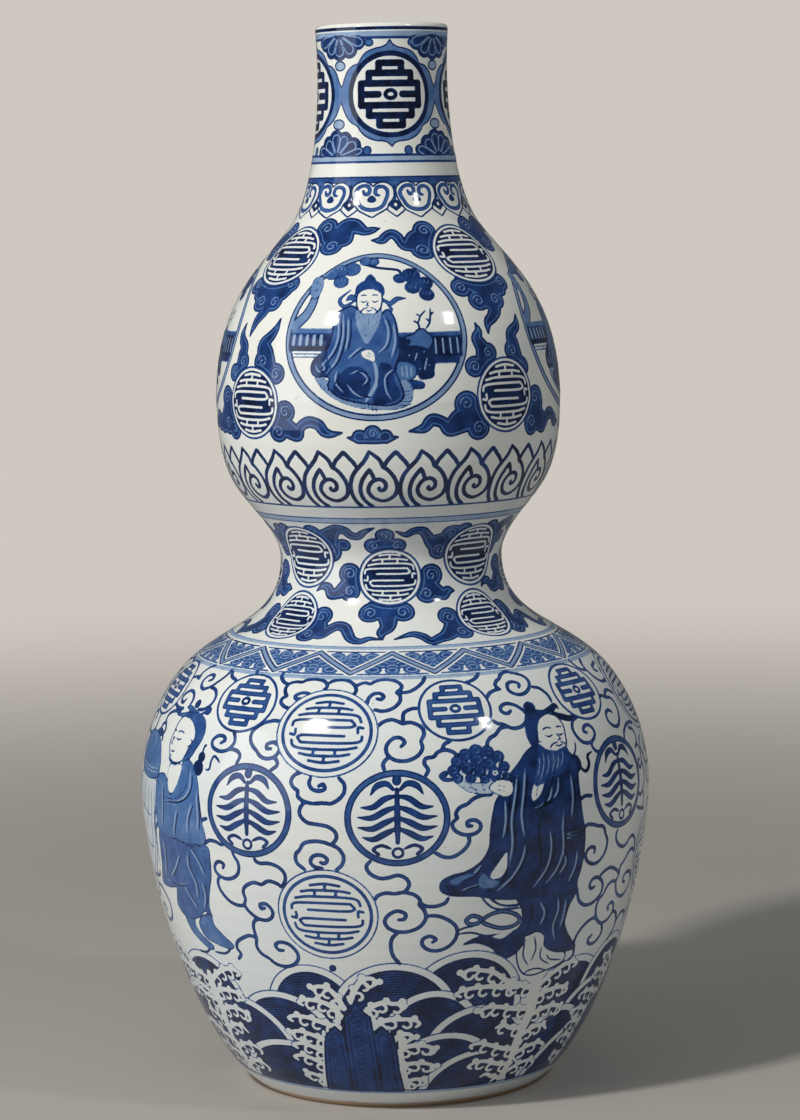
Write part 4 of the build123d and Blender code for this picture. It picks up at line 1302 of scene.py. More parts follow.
def round_picture(turn):
    """The elder's picture in its ring of pale blue between two dark lines."""
    degrees, arc = PICTURE_MIDDLE[0] + turn, PICTURE_MIDDLE[1]
    wash_over(oval(degrees, arc, *PICTURE_HALF, 3.4), 0.3)
    line_work(oval(degrees, arc, PICTURE_HALF[0] - 1.8, PICTURE_HALF[1] - 1.8, 0.9), 0.9)
    for (left, right), (low, high), depth in FENCE:
        corners = [(left, low), (right, low), (right, high), (left, high)]
        part(corners, depth, turn, 0.7, True)
    for x in np.arange(-32.8, -20, 2.6):
        pale_line(stroke([(x + turn, 522.6), (x + turn, 527.6)], 2.2, straight=True))
    for x in np.arange(16.4, 25, 2.6):
        pale_line(stroke([(x + turn, 516.4), (x + turn, 525)], 1.2, straight=True))
    folds(FENCE_RAILS, 0.7, turn, 0.8)
    for branch, depth in zip(BRANCHES, (0.36, 0.8)):
        wash_over(stroke(turned(branch, turn)), depth)
    part(TRUNK_KNOT, 0.34, turn, 0.5)
    folds(KNOT_LINES, 1.2, turn, 0.6)
    for x, y, r in PINE:
        leaf = oval(x + turn, y, r, 0.9 * r)
        wash_over(leaf, 0.8 if x > 0 else 0.55, rim=0)
        line_work(edge_of(leaf, 0.7), 0.95)
        folds([[(x - 0.4 * r, y + 0.5 * r), (x - 0.2 * r, y - 0.2 * r)], [(x, y + 0.6 * r), (x, y)],
               [(x + 0.4 * r, y + 0.5 * r), (x + 0.2 * r, y - 0.2 * r)]], 0.45, turn)
    part(DEER, 0.5, turn, 1.1)
    folds(ANTLERS, 1.1, turn, 0.9)
    folds([[(12.2, 527.6), (13.2, 527.2)]], 0.7, turn, 0.95)
    for points, depth in ROCKS:
        part(points, depth, turn)
    folds(ROCK_LINES, 1.0, turn)
    part(ELDER_MAT, 0.3, turn, 0.5)
    for x, y in zip(np.linspace(-22, -4, 16), np.linspace(498, 484, 16)):
        line_work(stroke([(x + turn, y + 3), (x + turn + 0.5, y - 1.6)], 0.6), 0.75)
    for y in np.arange(486, 498, 2):
        line_work(stroke([(3 + turn, y), (7.4 + turn, y + 0.6)], 0.6), 0.75)
    for ribbon in ELDER_RIBBONS:
        line_work(stroke(turned(ribbon, turn)), 0.72)
    part(ELDER_ROBE, 0.56, turn, 1.2)
    for shade in ELDER_SHADES:
        part(shade, 0.78, turn, 0.8)
    cloth(ELDER_FOLDS, 1.1, turn, 0.95, 1.0)
    pale_line(stroke(turned(ELDER_SASH, turn)))
    part(ELDER_HAND, 0, turn, 0.6)
    folds(ELDER_FINGERS, 0.45, turn, 0.8)
    part(ELDER_FACE, 0, turn, 0.9)
    part(ELDER_BEARD, 0.3, turn, 0.4)
    folds(BEARD_LINES, 0.4, turn, 0.7)
    part(ELDER_CAP, 0.72, turn, 0.7)
    part(CAP_KNOT, 0.8, turn, 0.7)
    folds(ELDER_LINES, 0.75, turn, 0.92)


for quarter in BULB_QUARTERS:
    round_picture(quarter)

# The elder with flowers
# A tall bearded figure in a dark robe, who turns to the right and carries a basket of
# blossoms. The face is a plain one with lowered lids.
BLOSSOMS = [
    (18.5, 242.4, 4), (15.9, 240.4, 3.7), (21.1, 241.4, 3.8), (13.9, 236.6, 3.5),
    (23.5, 238, 3.6), (18.6, 236.8, 4.2), (12.9, 231.4, 3.5), (16, 232.6, 3.8),
    (21.3, 234.4, 3.8), (24.6, 231.8, 3.3), (18.8, 230.4, 3.8), (13.7, 227, 3.1),
    (16.6, 226.6, 3.1), (22.2, 228.4, 4), (24.9, 226, 2.6), (19.8, 225.4, 2.8),
]
BASKET = [
    (13.6, 225), (15.4, 219.6), (18.6, 217), (22, 217.4), (24, 220), (24.4, 225), (19, 223.4),
]
TALL_ROBE = [
    (31.4, 240), (28, 232), (25.6, 226), (24.6, 219), (22.2, 213), (21.2, 205), (20.6, 195),
    (20.3, 185), (18.6, 177), (15.4, 171.6), (12, 169.4), (9.8, 166), (9.8, 160.6), (12.4, 157.4),
    (18, 156), (22, 153.4), (26, 152), (31, 151.4), (37, 150.6), (43.4, 150), (44.4, 158),
    (45.4, 170), (45.4, 185), (44.2, 200), (43.7, 215), (43.9, 226), (42.8, 234), (40, 240),
    (36, 243),
]
TALL_SKIRT = [
    (28.6, 153), (29, 146), (29.6, 138), (28.6, 132), (26.6, 128.6), (31, 127), (34, 128.6),
    (36.4, 125), (37, 118), (40, 113.4), (44, 111.4), (47.6, 112.4), (45.6, 118), (43.2, 125),
    (42, 132), (42.6, 141), (43.4, 152),
]
ROBE_TAIL = [
    (28.6, 132), (24.6, 126.6), (21, 129.6), (18, 129), (15.4, 125.6), (18.4, 126), (22, 122),
    (24, 117.4), (26.4, 114), (28.6, 116), (30.4, 121), (30.6, 126),
]
TALL_LEGS = [
    (29.6, 127), (29, 119), (29.6, 110), (31.6, 102), (34.6, 99.4), (39, 101), (43.6, 104),
    (44.6, 109), (42, 114), (38, 119), (37, 126), (33, 129),
]
TALL_FOLDS = [
    [(27.4, 226), (26.4, 214), (25.4, 200), (25.6, 186), (25, 172)],
    [(29.6, 230), (28.6, 216), (27.8, 202), (28.6, 188)], [(24, 212), (24, 200), (23.4, 190)],
    [(28.8, 185), (28.2, 176), (26, 166), (22.4, 157.6)], [(18.6, 175), (16, 168), (12.4, 165)],
    [(22.4, 170), (19.4, 164), (14, 160)], [(35, 192), (35.6, 179), (34.6, 168), (31.4, 157)],
    [(38, 222), (37.2, 213), (34.4, 207.4), (31, 205.6)], [(36, 217), (35, 210), (32.6, 206.6)],
    [(38.8, 202), (38.6, 190), (39, 178), (37.6, 167), (34.6, 158)],
    [(41.6, 222), (41.6, 208), (41, 196)], [(39.8, 187), (44.6, 187.6)],
    [(39.8, 184.6), (44.8, 185)], [(38.8, 178), (40, 170), (38.4, 163)],
    [(43.4, 176), (43, 166), (41.4, 157)], [(33.6, 148), (35.4, 140), (34.6, 132)],
    [(38.8, 149), (39.4, 140), (38.6, 130), (39.8, 120)], [(41.4, 147), (41.4, 137), (40.8, 128)],
]
TALL_SEAMS = [
    [(26, 224), (25, 208), (24.4, 192)], [(24.8, 172), (23.6, 164), (19.6, 157.4)],
    [(40, 236), (37, 224), (33.8, 208), (31, 204)], [(43.6, 190), (41, 189), (38.8, 192)],
    [(33, 204), (32.2, 190), (33, 174), (30.6, 158)], [(31, 150), (32, 140), (31, 131)],
]
TALL_LININGS = [
    [(11.4, 165.8), (13, 168.6), (16, 170.4), (17.4, 169), (15, 166.6), (13, 163.6)],
    [(18.6, 161), (18, 165.4), (19, 170), (20.4, 166.4), (23, 163.6), (21.6, 160)],
]
TALL_WHITES = [
    [(24.4, 181.4), (22.6, 176), (20.8, 169), (21.2, 165.4), (23.4, 166.4), (24.6, 172)],
    [(33.6, 223.6), (31.4, 220), (30.4, 213.4), (31, 209.6), (32.8, 213), (34, 219)],
]
TALL_FACE = [
    (34.4, 255), (35.8, 259), (38.6, 260.4), (41.6, 258), (42.9, 252), (42.7, 246), (42.2, 240),
    (40.8, 235.6), (37.4, 234.6), (34.8, 239), (33.8, 246),
]
TALL_HAIR = [
    (33, 261), (34.6, 264.4), (37, 263), (39.6, 261.8), (38.6, 260), (36.6, 258), (35.3, 254),
    (34.7, 249), (34.2, 243), (32.9, 240.6), (31.9, 246), (31.9, 254),
]
TALL_BEARD = [
    (34.6, 242), (36.2, 238.8), (38.8, 237.4), (41.8, 238.6), (42.4, 234), (41, 227.6),
    (38.4, 223), (35.8, 222.4), (33.6, 219.4), (31.6, 219), (32.2, 226), (33.2, 233),
    (33.8, 238.4),
]
TALL_LINES = [
    [(36.7, 247.2), (37.8, 246.2), (39, 247.2)], [(40.6, 247), (41.4, 246.2), (42.2, 247)],
    [(36.3, 250.6), (37.6, 251.8), (39.1, 251)], [(40.5, 251), (41.6, 251.6), (42.4, 250.4)],
    [(39.9, 248), (40.9, 244), (39.8, 243.4)], [(39, 240.4), (40, 239.9), (41, 240.4)],
    [(39.8, 242.2), (38.2, 241.4), (37.2, 239)], [(40.6, 242.2), (41.6, 241.2), (42.1, 239.4)],
    [(34.9, 249), (34.1, 247.4), (34.4, 244.4), (35.3, 243.8)],
]
TALL_BEARD_LINES = [
    [(35, 239), (34.6, 230), (33, 221)], [(36.2, 237), (36, 230), (34.6, 223)],
    [(37.6, 236), (37.4, 230), (36.4, 225)], [(39, 236), (38.8, 231), (37.8, 226)],
    [(40.4, 236.6), (40.2, 232), (39.2, 228)], [(33.8, 236), (33.4, 230), (32.4, 223)],
]
TALL_RIBBONS = [
    [(38.6, 261.6, 2.4), (41, 262.6, 4.4), (42.8, 264.6, 3), (43.4, 262, 1)],
    [(41.4, 259.6, 2.6), (43.4, 257, 4.2), (45.8, 255.2, 3.8), (48.2, 256.2, 0.8)],
    [(44, 228, 1.6), (46.4, 222.4, 2), (48, 226, 2.4), (48, 231, 2.2), (49.8, 233, 0.8)],
    [(44, 230, 6), (44.4, 226.6, 6), (43.6, 223, 2)],
    [(43.2, 232, 1), (44.6, 236, 1.2), (45, 240, 1)],
]
ROBE_LOOPS = [
    [(19.4, 139.8), (21.4, 143.6), (24.4, 144.6), (27.4, 142), (28.8, 138), (27.4, 134.6),
     (24.2, 134), (21, 136.8)],
    [(17.2, 143.6), (19, 141.6), (18.4, 138.6), (16.4, 138.4), (15.6, 141), (16.4, 143)],
]
ROBE_STRINGS = [
    [(13.6, 134.8), (15.8, 136.6), (17.6, 136.8)],
    [(13.6, 132.6), (17, 132.8), (20.6, 130), (24, 130.4)],
    [(20, 155.4), (24, 148.6), (30, 147.6)], [(18.4, 155.8), (22.4, 146.8), (29.4, 145.6)],
]
LEG_LINES = [
    [(31, 124), (31, 114), (33, 106)], [(33.4, 126), (34.4, 117), (33.6, 109)],
    [(36, 118), (36.4, 110), (39.6, 104.6)], [(38, 112), (39.6, 108), (43.6, 106)],
    [(31.6, 101.6), (35, 103.6), (38.6, 101.4)], [(39, 101.4), (42.6, 102), (45.6, 105)],
]
BASKET_LINES = [
    [(14.8, 222), (18.6, 219.6), (23, 220.6)], [(16, 224), (18, 217.6)],
    [(19, 223), (19.6, 217.4)], [(22, 224), (21.6, 217.6)],
]
TALL_HAND = [
    (20.6, 220), (22, 216.6), (24.4, 214), (26, 216.4), (26, 222), (23.8, 224.4), (21.8, 223.4),
]
TALL_FINGERS = [[(22.4, 221.4), (24.6, 219.6)], [(22, 219.2), (24.2, 217.4)]]
TALL_TOPKNOT = [(33.6, 264), (33.4, 267), (34.9, 269), (36.3, 267), (36, 264)]


def elder_with_flowers(turn):
    """The tall figure: strings, legs, skirt, robe, basket and head, each over the last."""
    for ribbon in TALL_RIBBONS:
        line_work(stroke(turned(ribbon, turn)), 0.92)
    for loop in ROBE_LOOPS:
        ring = stroke(turned(loop, turn), 2.2, closed=True)
        left_white(ring)
        wash_over(ring, 0.45)
    folds(ROBE_STRINGS, 1.3, turn, 0.85)
    part(TALL_LEGS, 0, turn, 1.0)
    folds(LEG_LINES, 1.0, turn, 0.9)
    part(ROBE_TAIL, 0.82, turn)
    part(TALL_SKIRT, 0.76, turn, 1.2)
    part(TALL_ROBE, 0.8, turn, 1.3)
    folds(TALL_SEAMS, 1.5, turn, 1.0)
    cloth(TALL_FOLDS, 1.4, turn, 1.0)
    for points in TALL_LININGS:
        part(points, 0.42, turn, 0.8)
    for points in TALL_WHITES:
        part(points, 0, turn, 0.6)
    folds([[(32.6, 221), (31.6, 212)]], 0.5, turn, 0.8)
    part(BASKET, 0.12, turn, 0.6)
    folds(BASKET_LINES, 0.5, turn, 0.8)
    part(TALL_HAND, 0, turn, 0.7)
    folds(TALL_FINGERS, 0.5, turn, 0.8)
    for x, y, r in BLOSSOMS:
        petal = oval(x + turn, y, r, 0.9 * r)
        wash_over(petal, 0.74, rim=0)
        line_work(edge_of(petal, 0.7), 0.98)
        folds([curl(x, y, 0.6 * r, 150, 0.8, -1, 0.5)], 0.5, turn)
    left_white(oval(22.3 + turn, 228.6, 1.9, 1.7), 0.4, 0.9)
    line_work(oval(22.3 + turn, 228.6, 0.6, 0.6), 0.9)
    part(TALL_FACE, 0, turn, 1.0)
    part(TALL_BEARD, 0.66, turn, 0.5)
    folds(TALL_BEARD_LINES, 0.8, turn)
    part(TALL_HAIR, 0.78, turn)
    part(TALL_TOPKNOT, 0.8, turn)
    folds(TALL_LINES, 0.95, turn, 0.95)


# The young attendant
# A youth in a mid blue robe, who walks to the left with a small dark gourd behind and a
# bundle in front. The face is a plain one with lowered lids.
YOUNG_SKIRT = [
    (-50, 139), (-47.8, 136), (-48, 143), (-47, 152), (-45.4, 163), (-45, 173), (-45.4, 181),
    (-50, 182), (-58, 182), (-65.4, 183), (-66.6, 172), (-67.6, 160), (-69.6, 149), (-65, 148),
    (-61, 149.4), (-61.8, 143), (-62.4, 137), (-60, 132), (-56.6, 131.4), (-53, 134),
]
YOUNG_COAT = [
    (-52.6, 231), (-50.4, 228), (-48.4, 220), (-47.3, 208), (-46.5, 195), (-46, 183.4),
    (-52, 181), (-60, 181.6), (-65.6, 184), (-66.6, 195), (-66.5, 208), (-65.6, 217),
    (-62.6, 219.4), (-60.6, 216), (-59, 208), (-57, 212), (-55.6, 222), (-54.4, 230),
]
YOUNG_LEGS = [
    [(-51.6, 135), (-53.6, 129), (-52.4, 122), (-48.4, 118.4), (-43.6, 117), (-42.4, 120),
     (-45, 125), (-47.6, 131), (-48.2, 137)],
    [(-59.4, 134), (-58.8, 125), (-56.2, 119), (-51.6, 113.4), (-50, 116), (-53.8, 122),
     (-55.6, 128), (-55, 134)],
]
YOUNG_FOLDS = [
    [(-51.4, 228), (-51.2, 214), (-55, 205.6), (-62.4, 203)],
    [(-50, 206), (-51.8, 196), (-52.2, 187)], [(-63, 214), (-62.8, 200), (-63.6, 187)],
    [(-64, 180), (-64.4, 166), (-66.6, 153)], [(-56.6, 172), (-59.4, 163), (-62.6, 156)],
    [(-52, 179), (-49.4, 171), (-47.6, 162)],
    [(-53, 176), (-53.4, 166), (-51.6, 156), (-52, 146)], [(-49, 158), (-48.8, 149), (-50, 141)],
    [(-57, 153), (-55, 146), (-52.6, 139)], [(-66, 152), (-60, 151.6), (-55, 154)],
    [(-56, 200), (-57.4, 190), (-58, 184)], [(-48.6, 214), (-48, 200), (-48.4, 190)],
]
YOUNG_FACE = [
    (-61.6, 252), (-60, 256.6), (-57, 258.4), (-53, 255.4), (-51.6, 248), (-52, 240), (-54, 232),
    (-57.4, 227.8), (-60.4, 229), (-61.9, 234), (-62.7, 239.6), (-62.1, 246),
]
YOUNG_HAIR = [
    (-60.8, 256), (-58, 260.4), (-54, 259.6), (-51, 257), (-49.4, 250.6), (-49.7, 244),
    (-51, 238), (-52.4, 232.4), (-55, 229.8), (-54.2, 235), (-53.4, 240), (-52.4, 244.6),
    (-53.4, 250.4), (-56, 255), (-59, 256.4),
]
YOUNG_LINES = [
    [(-60.2, 242.4), (-59, 241.5), (-57.6, 242.5)], [(-62, 242.6), (-61.5, 241.9), (-61, 242.5)],
    [(-60.3, 246), (-58.9, 247), (-57.2, 246.2)],
    [(-61.9, 246.2), (-61.5, 246.9), (-61.1, 246.4)],
    [(-60.9, 243), (-61.9, 238.6), (-61, 238.2)],
    [(-61.3, 234.5), (-60.4, 233.8), (-59.4, 234.6)], [(-60.9, 231.7), (-60.2, 231.4)],
    [(-53.9, 243.6), (-53, 242), (-53.6, 239.4), (-54.6, 239)],
    [(-61.6, 229.6), (-59.6, 226.8), (-57, 226.6)],
]
BUNDLE = [
    (-66.2, 216), (-65.4, 224), (-66.6, 232), (-69, 238.4), (-73, 241.8), (-78, 240.4),
    (-80.6, 233), (-81, 222), (-79, 215.4), (-72, 213.4),
]
DRAPES = [
    [(-67.4, 212), (-68, 196), (-69.4, 178), (-72.4, 162), (-77, 152)],
    [(-69.4, 211), (-70, 194), (-71.8, 176), (-75, 163)],
    [(-71.6, 211), (-72.6, 196), (-75, 182)],
    [(-66.2, 212), (-67.4, 190), (-68.4, 172), (-69.6, 156)],
    [(-74.4, 212), (-76, 200), (-79, 190)], [(-80, 196), (-74, 191), (-70, 190)],
    [(-82, 176), (-76, 170), (-71, 170)],
    [(-80, 214), (-83, 200), (-84, 180), (-82, 160), (-77, 152)],
]
SHAWL = [
    (-66.4, 213), (-68, 190), (-70, 165), (-76, 151), (-82, 158), (-84.4, 180), (-83, 200),
    (-80, 214),
]
BUNDLE_FOLDS = [
    [(-78, 217), (-78, 228), (-75, 238)], [(-75, 216), (-75.4, 228), (-73, 238)],
    [(-72, 216), (-72.4, 226), (-70.6, 235)], [(-69.2, 217), (-69, 226), (-68, 232)],
]
BUNDLE_TIES = [[(-66, 218.6), (-72, 217.6), (-80, 219)], [(-66, 221), (-72, 220), (-80.6, 221.6)]]
SHOES = [[(-51.6, 113.6), (-54, 110.4), (-57.6, 110)], [(-43.4, 117), (-46, 113), (-50, 112.4)]]
COAT_LINES = [
    [(-52.2, 230), (-52.2, 216), (-56, 207), (-62, 205.4)],
    [(-45.6, 181), (-52, 179.6), (-58, 182.4)], [(-45.4, 178.4), (-49.6, 177.4), (-52.6, 178.6)],
]
YOUNG_COLLAR = [(-60.4, 225), (-57, 227.4), (-54.8, 226), (-55.8, 216), (-58, 209), (-60, 212)]
GOURD_STALK = [(-48.2, 236, 1.6), (-48, 241, 1.4), (-47.6, 241.6, 1.8)]
GOURD_CORD = [
    [(-46.4, 227.4), (-45, 228), (-44.8, 233), (-44.2, 236), (-43.1, 235), (-42, 232.4)],
]
HAIR_RIBBONS = (
    [(-56.2, 260, 3), (-58.6, 261.8, 3.6), (-60.8, 262.2, 0.8)],
    [(-57.6, 259, 2), (-61, 256.8, 3), (-64.2, 256, 0.8)], [(-53.4, 259.4, 2), (-52, 261, 2)],
)


def young_attendant(turn):
    """The walking youth: drapes, bundle, legs, coat and head, each over the last."""
    part(SHAWL, 0.08, turn, 0.9)
    folds(DRAPES, 1.0, turn, 0.6)
    part(BUNDLE, 0.45, turn)
    folds(BUNDLE_FOLDS, 0.7, turn, 0.72)
    folds(BUNDLE_TIES, 1.0, turn)
    for leg in YOUNG_LEGS:
        part(leg, 0.44, turn)
    folds(SHOES, 1.6, turn, 0.85)
    part(YOUNG_SKIRT, 0.54, turn)
    part(YOUNG_COAT, 0.44, turn)
    cloth(YOUNG_FOLDS, 1.25, turn, 0.92)
    folds(COAT_LINES, 0.8, turn, 0.95)
    part(YOUNG_COLLAR, 0, turn, 0.6)
    for x, y, r in ((-48.8, 227.6, 4.5), (-48.2, 234.4, 2.9)):
        wash_over(oval(x + turn, y, r, r), 0.92)
    line_work(stroke(turned(GOURD_STALK, turn)), 0.9)
    folds(GOURD_CORD, 1.6, turn, 0.8)
    part(YOUNG_FACE, 0, turn, 1.0)
    part(YOUNG_HAIR, 0.62, turn)
    for x, y in ((-56.5, 265.4), (-51, 262.6)):
        wash_over(oval(x + turn, y, 2.7, 2.6), 0.66)
    for ribbon in HAIR_RIBBONS:
        line_work(stroke(turned(ribbon, turn)), 0.72)
    folds(YOUNG_LINES, 0.95, turn, 0.95)


for turn in HALVES:
    elder_with_flowers(turn)
    young_attendant(turn)

# The clay body and its mesh
# Each ring is a closed shell: the fine, painted outside, the joint faces or the lip, and a
# coarser lining. The lowest ring also has the floor, the base and the trimmed foot ring.
FOOT_RING_WIDTH = 11.0
FOOT_BEVEL = 1.5
RECESS_DEPTH = 9.0
RECESS_SLOPE = 4.0
FLOOR_HEIGHT = 19.0
FLOOR_ROW = 40.0  # radius of a row of vertices on the floor and on the base
FLOOR_STATION = (80.0, FLOOR_HEIGHT, 74.0, 0.0, 0.3, 0.0)
LINING_SHARE = 4  # one vertex of the lining for this many of the outside
LINING_STEP = 6.0  # millimetres between the lining's rows
# corners of the triangles between two rows, as steps of (row, column): an even grid, then
# the seams from a fine row up to a coarse one and from a coarse row up to a fine one
EVEN = [[(0, 0), (0, 1), (1, 1)], [(0, 0), (1, 1), (1, 0)]]
FINE_TO_COARSE = [
    [(0, 0), (0, 1), (1, 0)], [(0, 1), (0, 2), (1, 0)], [(0, 2), (1, 4), (1, 0)],
    [(0, 2), (0, 3), (1, 4)], [(0, 3), (0, 4), (1, 4)],
]
COARSE_TO_FINE = [
    [(0, 0), (1, 1), (1, 0)], [(0, 0), (1, 2), (1, 1)], [(0, 0), (0, 4), (1, 2)],
    [(0, 4), (1, 3), (1, 2)], [(0, 4), (1, 4), (1, 3)],
]


def inside_outline():
    """The outside's stations moved in, square to the wall, by its thickness."""
    lean = np.radians(OUTLINE[1:, 2])
    inner = OUTLINE[1:].copy()
    inner[:, 0] -= OUTLINE[1:, 5] * np.cos(lean)
    inner[:, 1] += OUTLINE[1:, 5] * np.sin(lean)
    return turned_outline(np.vstack([FLOOR_STATION, inner]))


inside_radius, inside_height = inside_outline()


def unevenness(degrees, arc):
    """How far the turned wall stands out from its outline, in millimetres: two slow waves
    round it, throwing ripples 9 mm apart, and a low ridge over each joint."""
    turn = np.radians(degrees)
    slow = 0.22 * np.cos(2 * turn - 1.4 + arc / 260) + 0.14 * np.cos(3 * turn + 3.9 - arc / 190)
    ripple = 0.03 * np.sin(2 * np.pi * arc / 9 + 2 * np.sin(turn))
    ridges = sum(0.22 * np.exp(-(((arc - joint) / 3.5) ** 2)) for joint in JOINTS.values())
    settled = np.clip(arc / 12, 0, 1) * np.clip((WALL_END - arc) / 8, 0, 1)
    return (slow + ripple + ridges) * settled


def lining_profile(ring):
    """Radius and height of the lining's rows, from the top of the outside, over the joint or
    the lip, down the inside, and back under the joint or the base."""
    bottom, top = np.interp(ring.arc[[0, -1]], wall_arc, wall_height)
    has_foot = ring.arc[0] == 0
    rows = []
    if ring.arc[-1] == WALL_END:
        lip = np.radians(np.arange(20, 180, 20))
        middle = (wall_radius[-1] + inside_radius[-1]) / 2
        half = (wall_radius[-1] - inside_radius[-1]) / 2
        over = top + RIM_WALL / 2 * np.sin(lip)
        rows.append(np.column_stack([middle + half * np.cos(lip), over]))
        top = inside_height[-1]
    low = FLOOR_HEIGHT if has_foot else bottom
    heights = np.linspace(top, low, int((top - low) / LINING_STEP) + 2)
    rows.append(np.column_stack([np.interp(heights, inside_height, inside_radius), heights]))
    if has_foot:
        recess = FOOT_RADIUS - FOOT_RING_WIDTH
        rows.append(
            [
                (FLOOR_ROW, FLOOR_HEIGHT),
                (0, FLOOR_HEIGHT),
                (0, RECESS_DEPTH),
                (FLOOR_ROW, RECESS_DEPTH),
                (recess - RECESS_SLOPE - 1, RECESS_DEPTH),
                (recess - RECESS_SLOPE, RECESS_DEPTH),
                (recess, FOOT_BEVEL),
                (recess + FOOT_BEVEL, 0),
            ]
        )
    return np.vstack(rows)


def between(corners, first_row, rows, columns, wide):
    """Triangles between rows of a closed grid, each as three places (row, column)."""
    i, j = np.meshgrid(np.arange(first_row, first_row + rows), np.arange(columns), indexing="ij")
    base = np.stack([i, j * wide], -1).reshape(-1, 1, 1, 2)
    steps = np.array(corners)
    if corners is EVEN:
        steps = steps * (1, wide)
    return (base + steps[None]).reshape(-1, 3, 2)


def add_mesh(name, points, triangles):
    """A mesh object from whole arrays of points in millimetres and of triangles."""
    mesh = bpy.data.meshes.new(name)
    mesh.vertices.add(len(points))
    mesh.vertices.foreach_set("co", (points * MM).astype(np.float32).ravel())
    mesh.loops.add(triangles.size)
    mesh.loops.foreach_set("vertex_index", triangles.astype(np.int32).ravel())
    mesh.polygons.add(len(triangles))
    mesh.polygons.foreach_set("loop_start", np.arange(0, triangles.size, 3, dtype=np.int32))
    mesh.update(calc_edges=True)
    mesh.shade_smooth()
    mesh.set_sharp_from_angle(angle=np.radians(25))
    piece = bpy.data.objects.new(name, mesh)
    bpy.context.scene.collection.objects.link(piece)
    return piece


def around(radius, height, degrees):
    """Points at a radius and height, at angles from the front: x = r sin, y = -r cos."""
    turn = np.radians(degrees)
    return np.stack([radius * np.sin(turn), -radius * np.cos(turn), height + 0 * turn], -1)


def wall_piece(ring, material):
    """The ring's closed shell, with its painting on the outside's vertices."""
    rows, columns = len(ring.arc), ring.columns
    profile = lining_profile(ring)
    lined = columns // LINING_SHARE
    degrees = np.arange(columns) * 360 / columns - 180
    radius = radius_at(ring.arc)[:, None] + unevenness(degrees[None, :], ring.arc[:, None])
    height = np.interp(ring.arc, wall_arc, wall_height)[:, None]
    outside = around(radius, height, degrees[None, :]).reshape(-1, 3)
    lining = around(profile[:, :1], profile[:, 1:], degrees[None, ::LINING_SHARE]).reshape(-1, 3)
    triangles = np.concatenate(
        [
            between(EVEN, 0, rows - 1, columns, 1),
            between(FINE_TO_COARSE, rows - 1, 1, lined, LINING_SHARE),
            between(EVEN, rows, len(profile) - 1, lined, LINING_SHARE),
            between(COARSE_TO_FINE, rows + len(profile) - 1, 1, lined, LINING_SHARE),
        ]
    )
    row, column = triangles[..., 0], triangles[..., 1]
    closed = np.where(row == rows + len(profile), 0, row)
    on_lining = closed >= rows
    lining_row = np.where(on_lining, closed - rows, 0)
    pole = profile[lining_row, 0] == 0
    place = np.where(
        on_lining,
        rows * columns + lining_row * lined + np.where(pole, 0, column % columns // LINING_SHARE),
        closed * columns + column % columns,
    )
    first, second, third = place.T
    whole = (first != second) & (second != third) & (first != third)
    used, place = np.unique(place[whole], return_inverse=True)
    piece = add_mesh(ring.name, np.concatenate([outside, lining])[used], place.reshape(-1, 3))
    for mark, values in ring.marks.items():
        bare = FAR if mark in FAR_MARKS else 0.0
        values = np.concatenate([values.ravel(), np.full(len(lining), bare, np.float32)])[used]
        piece.data.attributes.new(mark, "FLOAT", "POINT").data.foreach_set("value", values)
    unrolled(piece, ring, row[whole], column[whole], len(profile))
    piece.data.materials.append(material)
    return piece


def unrolled(piece, ring, row, column, lining_rows):
    """A map of the wall unrolled, cut into strips that stack to about a square, with the
    lining as one more strip on top."""
    rows, columns = len(ring.arc), ring.columns
    wide = 360 * ring.mm_per_degree.mean()
    tall = ring.arc[-1] - ring.arc[0]
    count = 2 ** int(np.round(np.log2(np.sqrt(wide / tall))))
    base = column.min(1)
    strip = np.where(row.max(1) < rows, base // (columns // count), count)[:, None]
    along = np.where(strip < count, (column / columns * count) - strip, column / columns)
    up = np.where(strip < count, row / (rows - 1), (row - rows + 1) / (lining_rows + 1))
    uv = np.stack([0.004 + 0.992 * along, (strip + 0.02 + 0.96 * up) / (count + 1)], -1)
    layer = piece.data.uv_layers.new(name="OFBake")
    layer.data.foreach_set("uv", uv.astype(np.float32).ravel())


# The glaze and the cobalt
# Lime glaze over cobalt on white clay, fired once: glass-clear, bluer where it ran thick
# towards the foot, with iron specks, and blue that pools darker where the brush paused.
SOFT_EDGE = 0.26  # millimetres over which a brush mark fades out
BRUSH_WOBBLE = 0.42  # millimetres that a mark's edge strays
BRUSH_GRAIN = 1.3  # millimetres between the strayings
POOLING = 10.0  # millimetres between darker pools in a wash
COMB_PITCH = 1.75  # millimetres between water lines; real ones are finer, drawn as they show
COBALT = [
    (0.0, "#dfe5e6"), (0.16, "#a2b8d4"), (0.42, "#4a72ab"), (0.66, "#1f4384"),
    (0.85, "#102857"), (1.0, "#060f28"),
]
GLAZE_WARM = "#edede6"
GLAZE_COOL = "#e2e9ee"
IRON_SPECK = "#5a4230"
BISCUIT = "#c9a987"
BISCUIT_EDGE = "#8a5a36"
MATH = "ShaderNodeMath"
RANGE = "ShaderNodeMapRange"
MIX = "ShaderNodeMix"
NOISE = "ShaderNodeTexNoise"
SMOOTH = {"interpolation_type": "SMOOTHSTEP"}
COLOURS = {"data_type": "RGBA", "sockets": (0, 6, 7), "output": 2}
GRAIN = {"sockets": ("Vector", "Scale", "Detail", "Roughness")}


def linear(colour):
    """An sRGB hex colour as linear red, green, blue and alpha."""
    srgb = np.array([int(colour[k : k + 2], 16) for k in (1, 3, 5)]) / 255
    values = np.where(srgb <= 0.04045, srgb / 12.92, ((srgb + 0.055) / 1.055) ** 2.4)
    return (*values, 1.0)


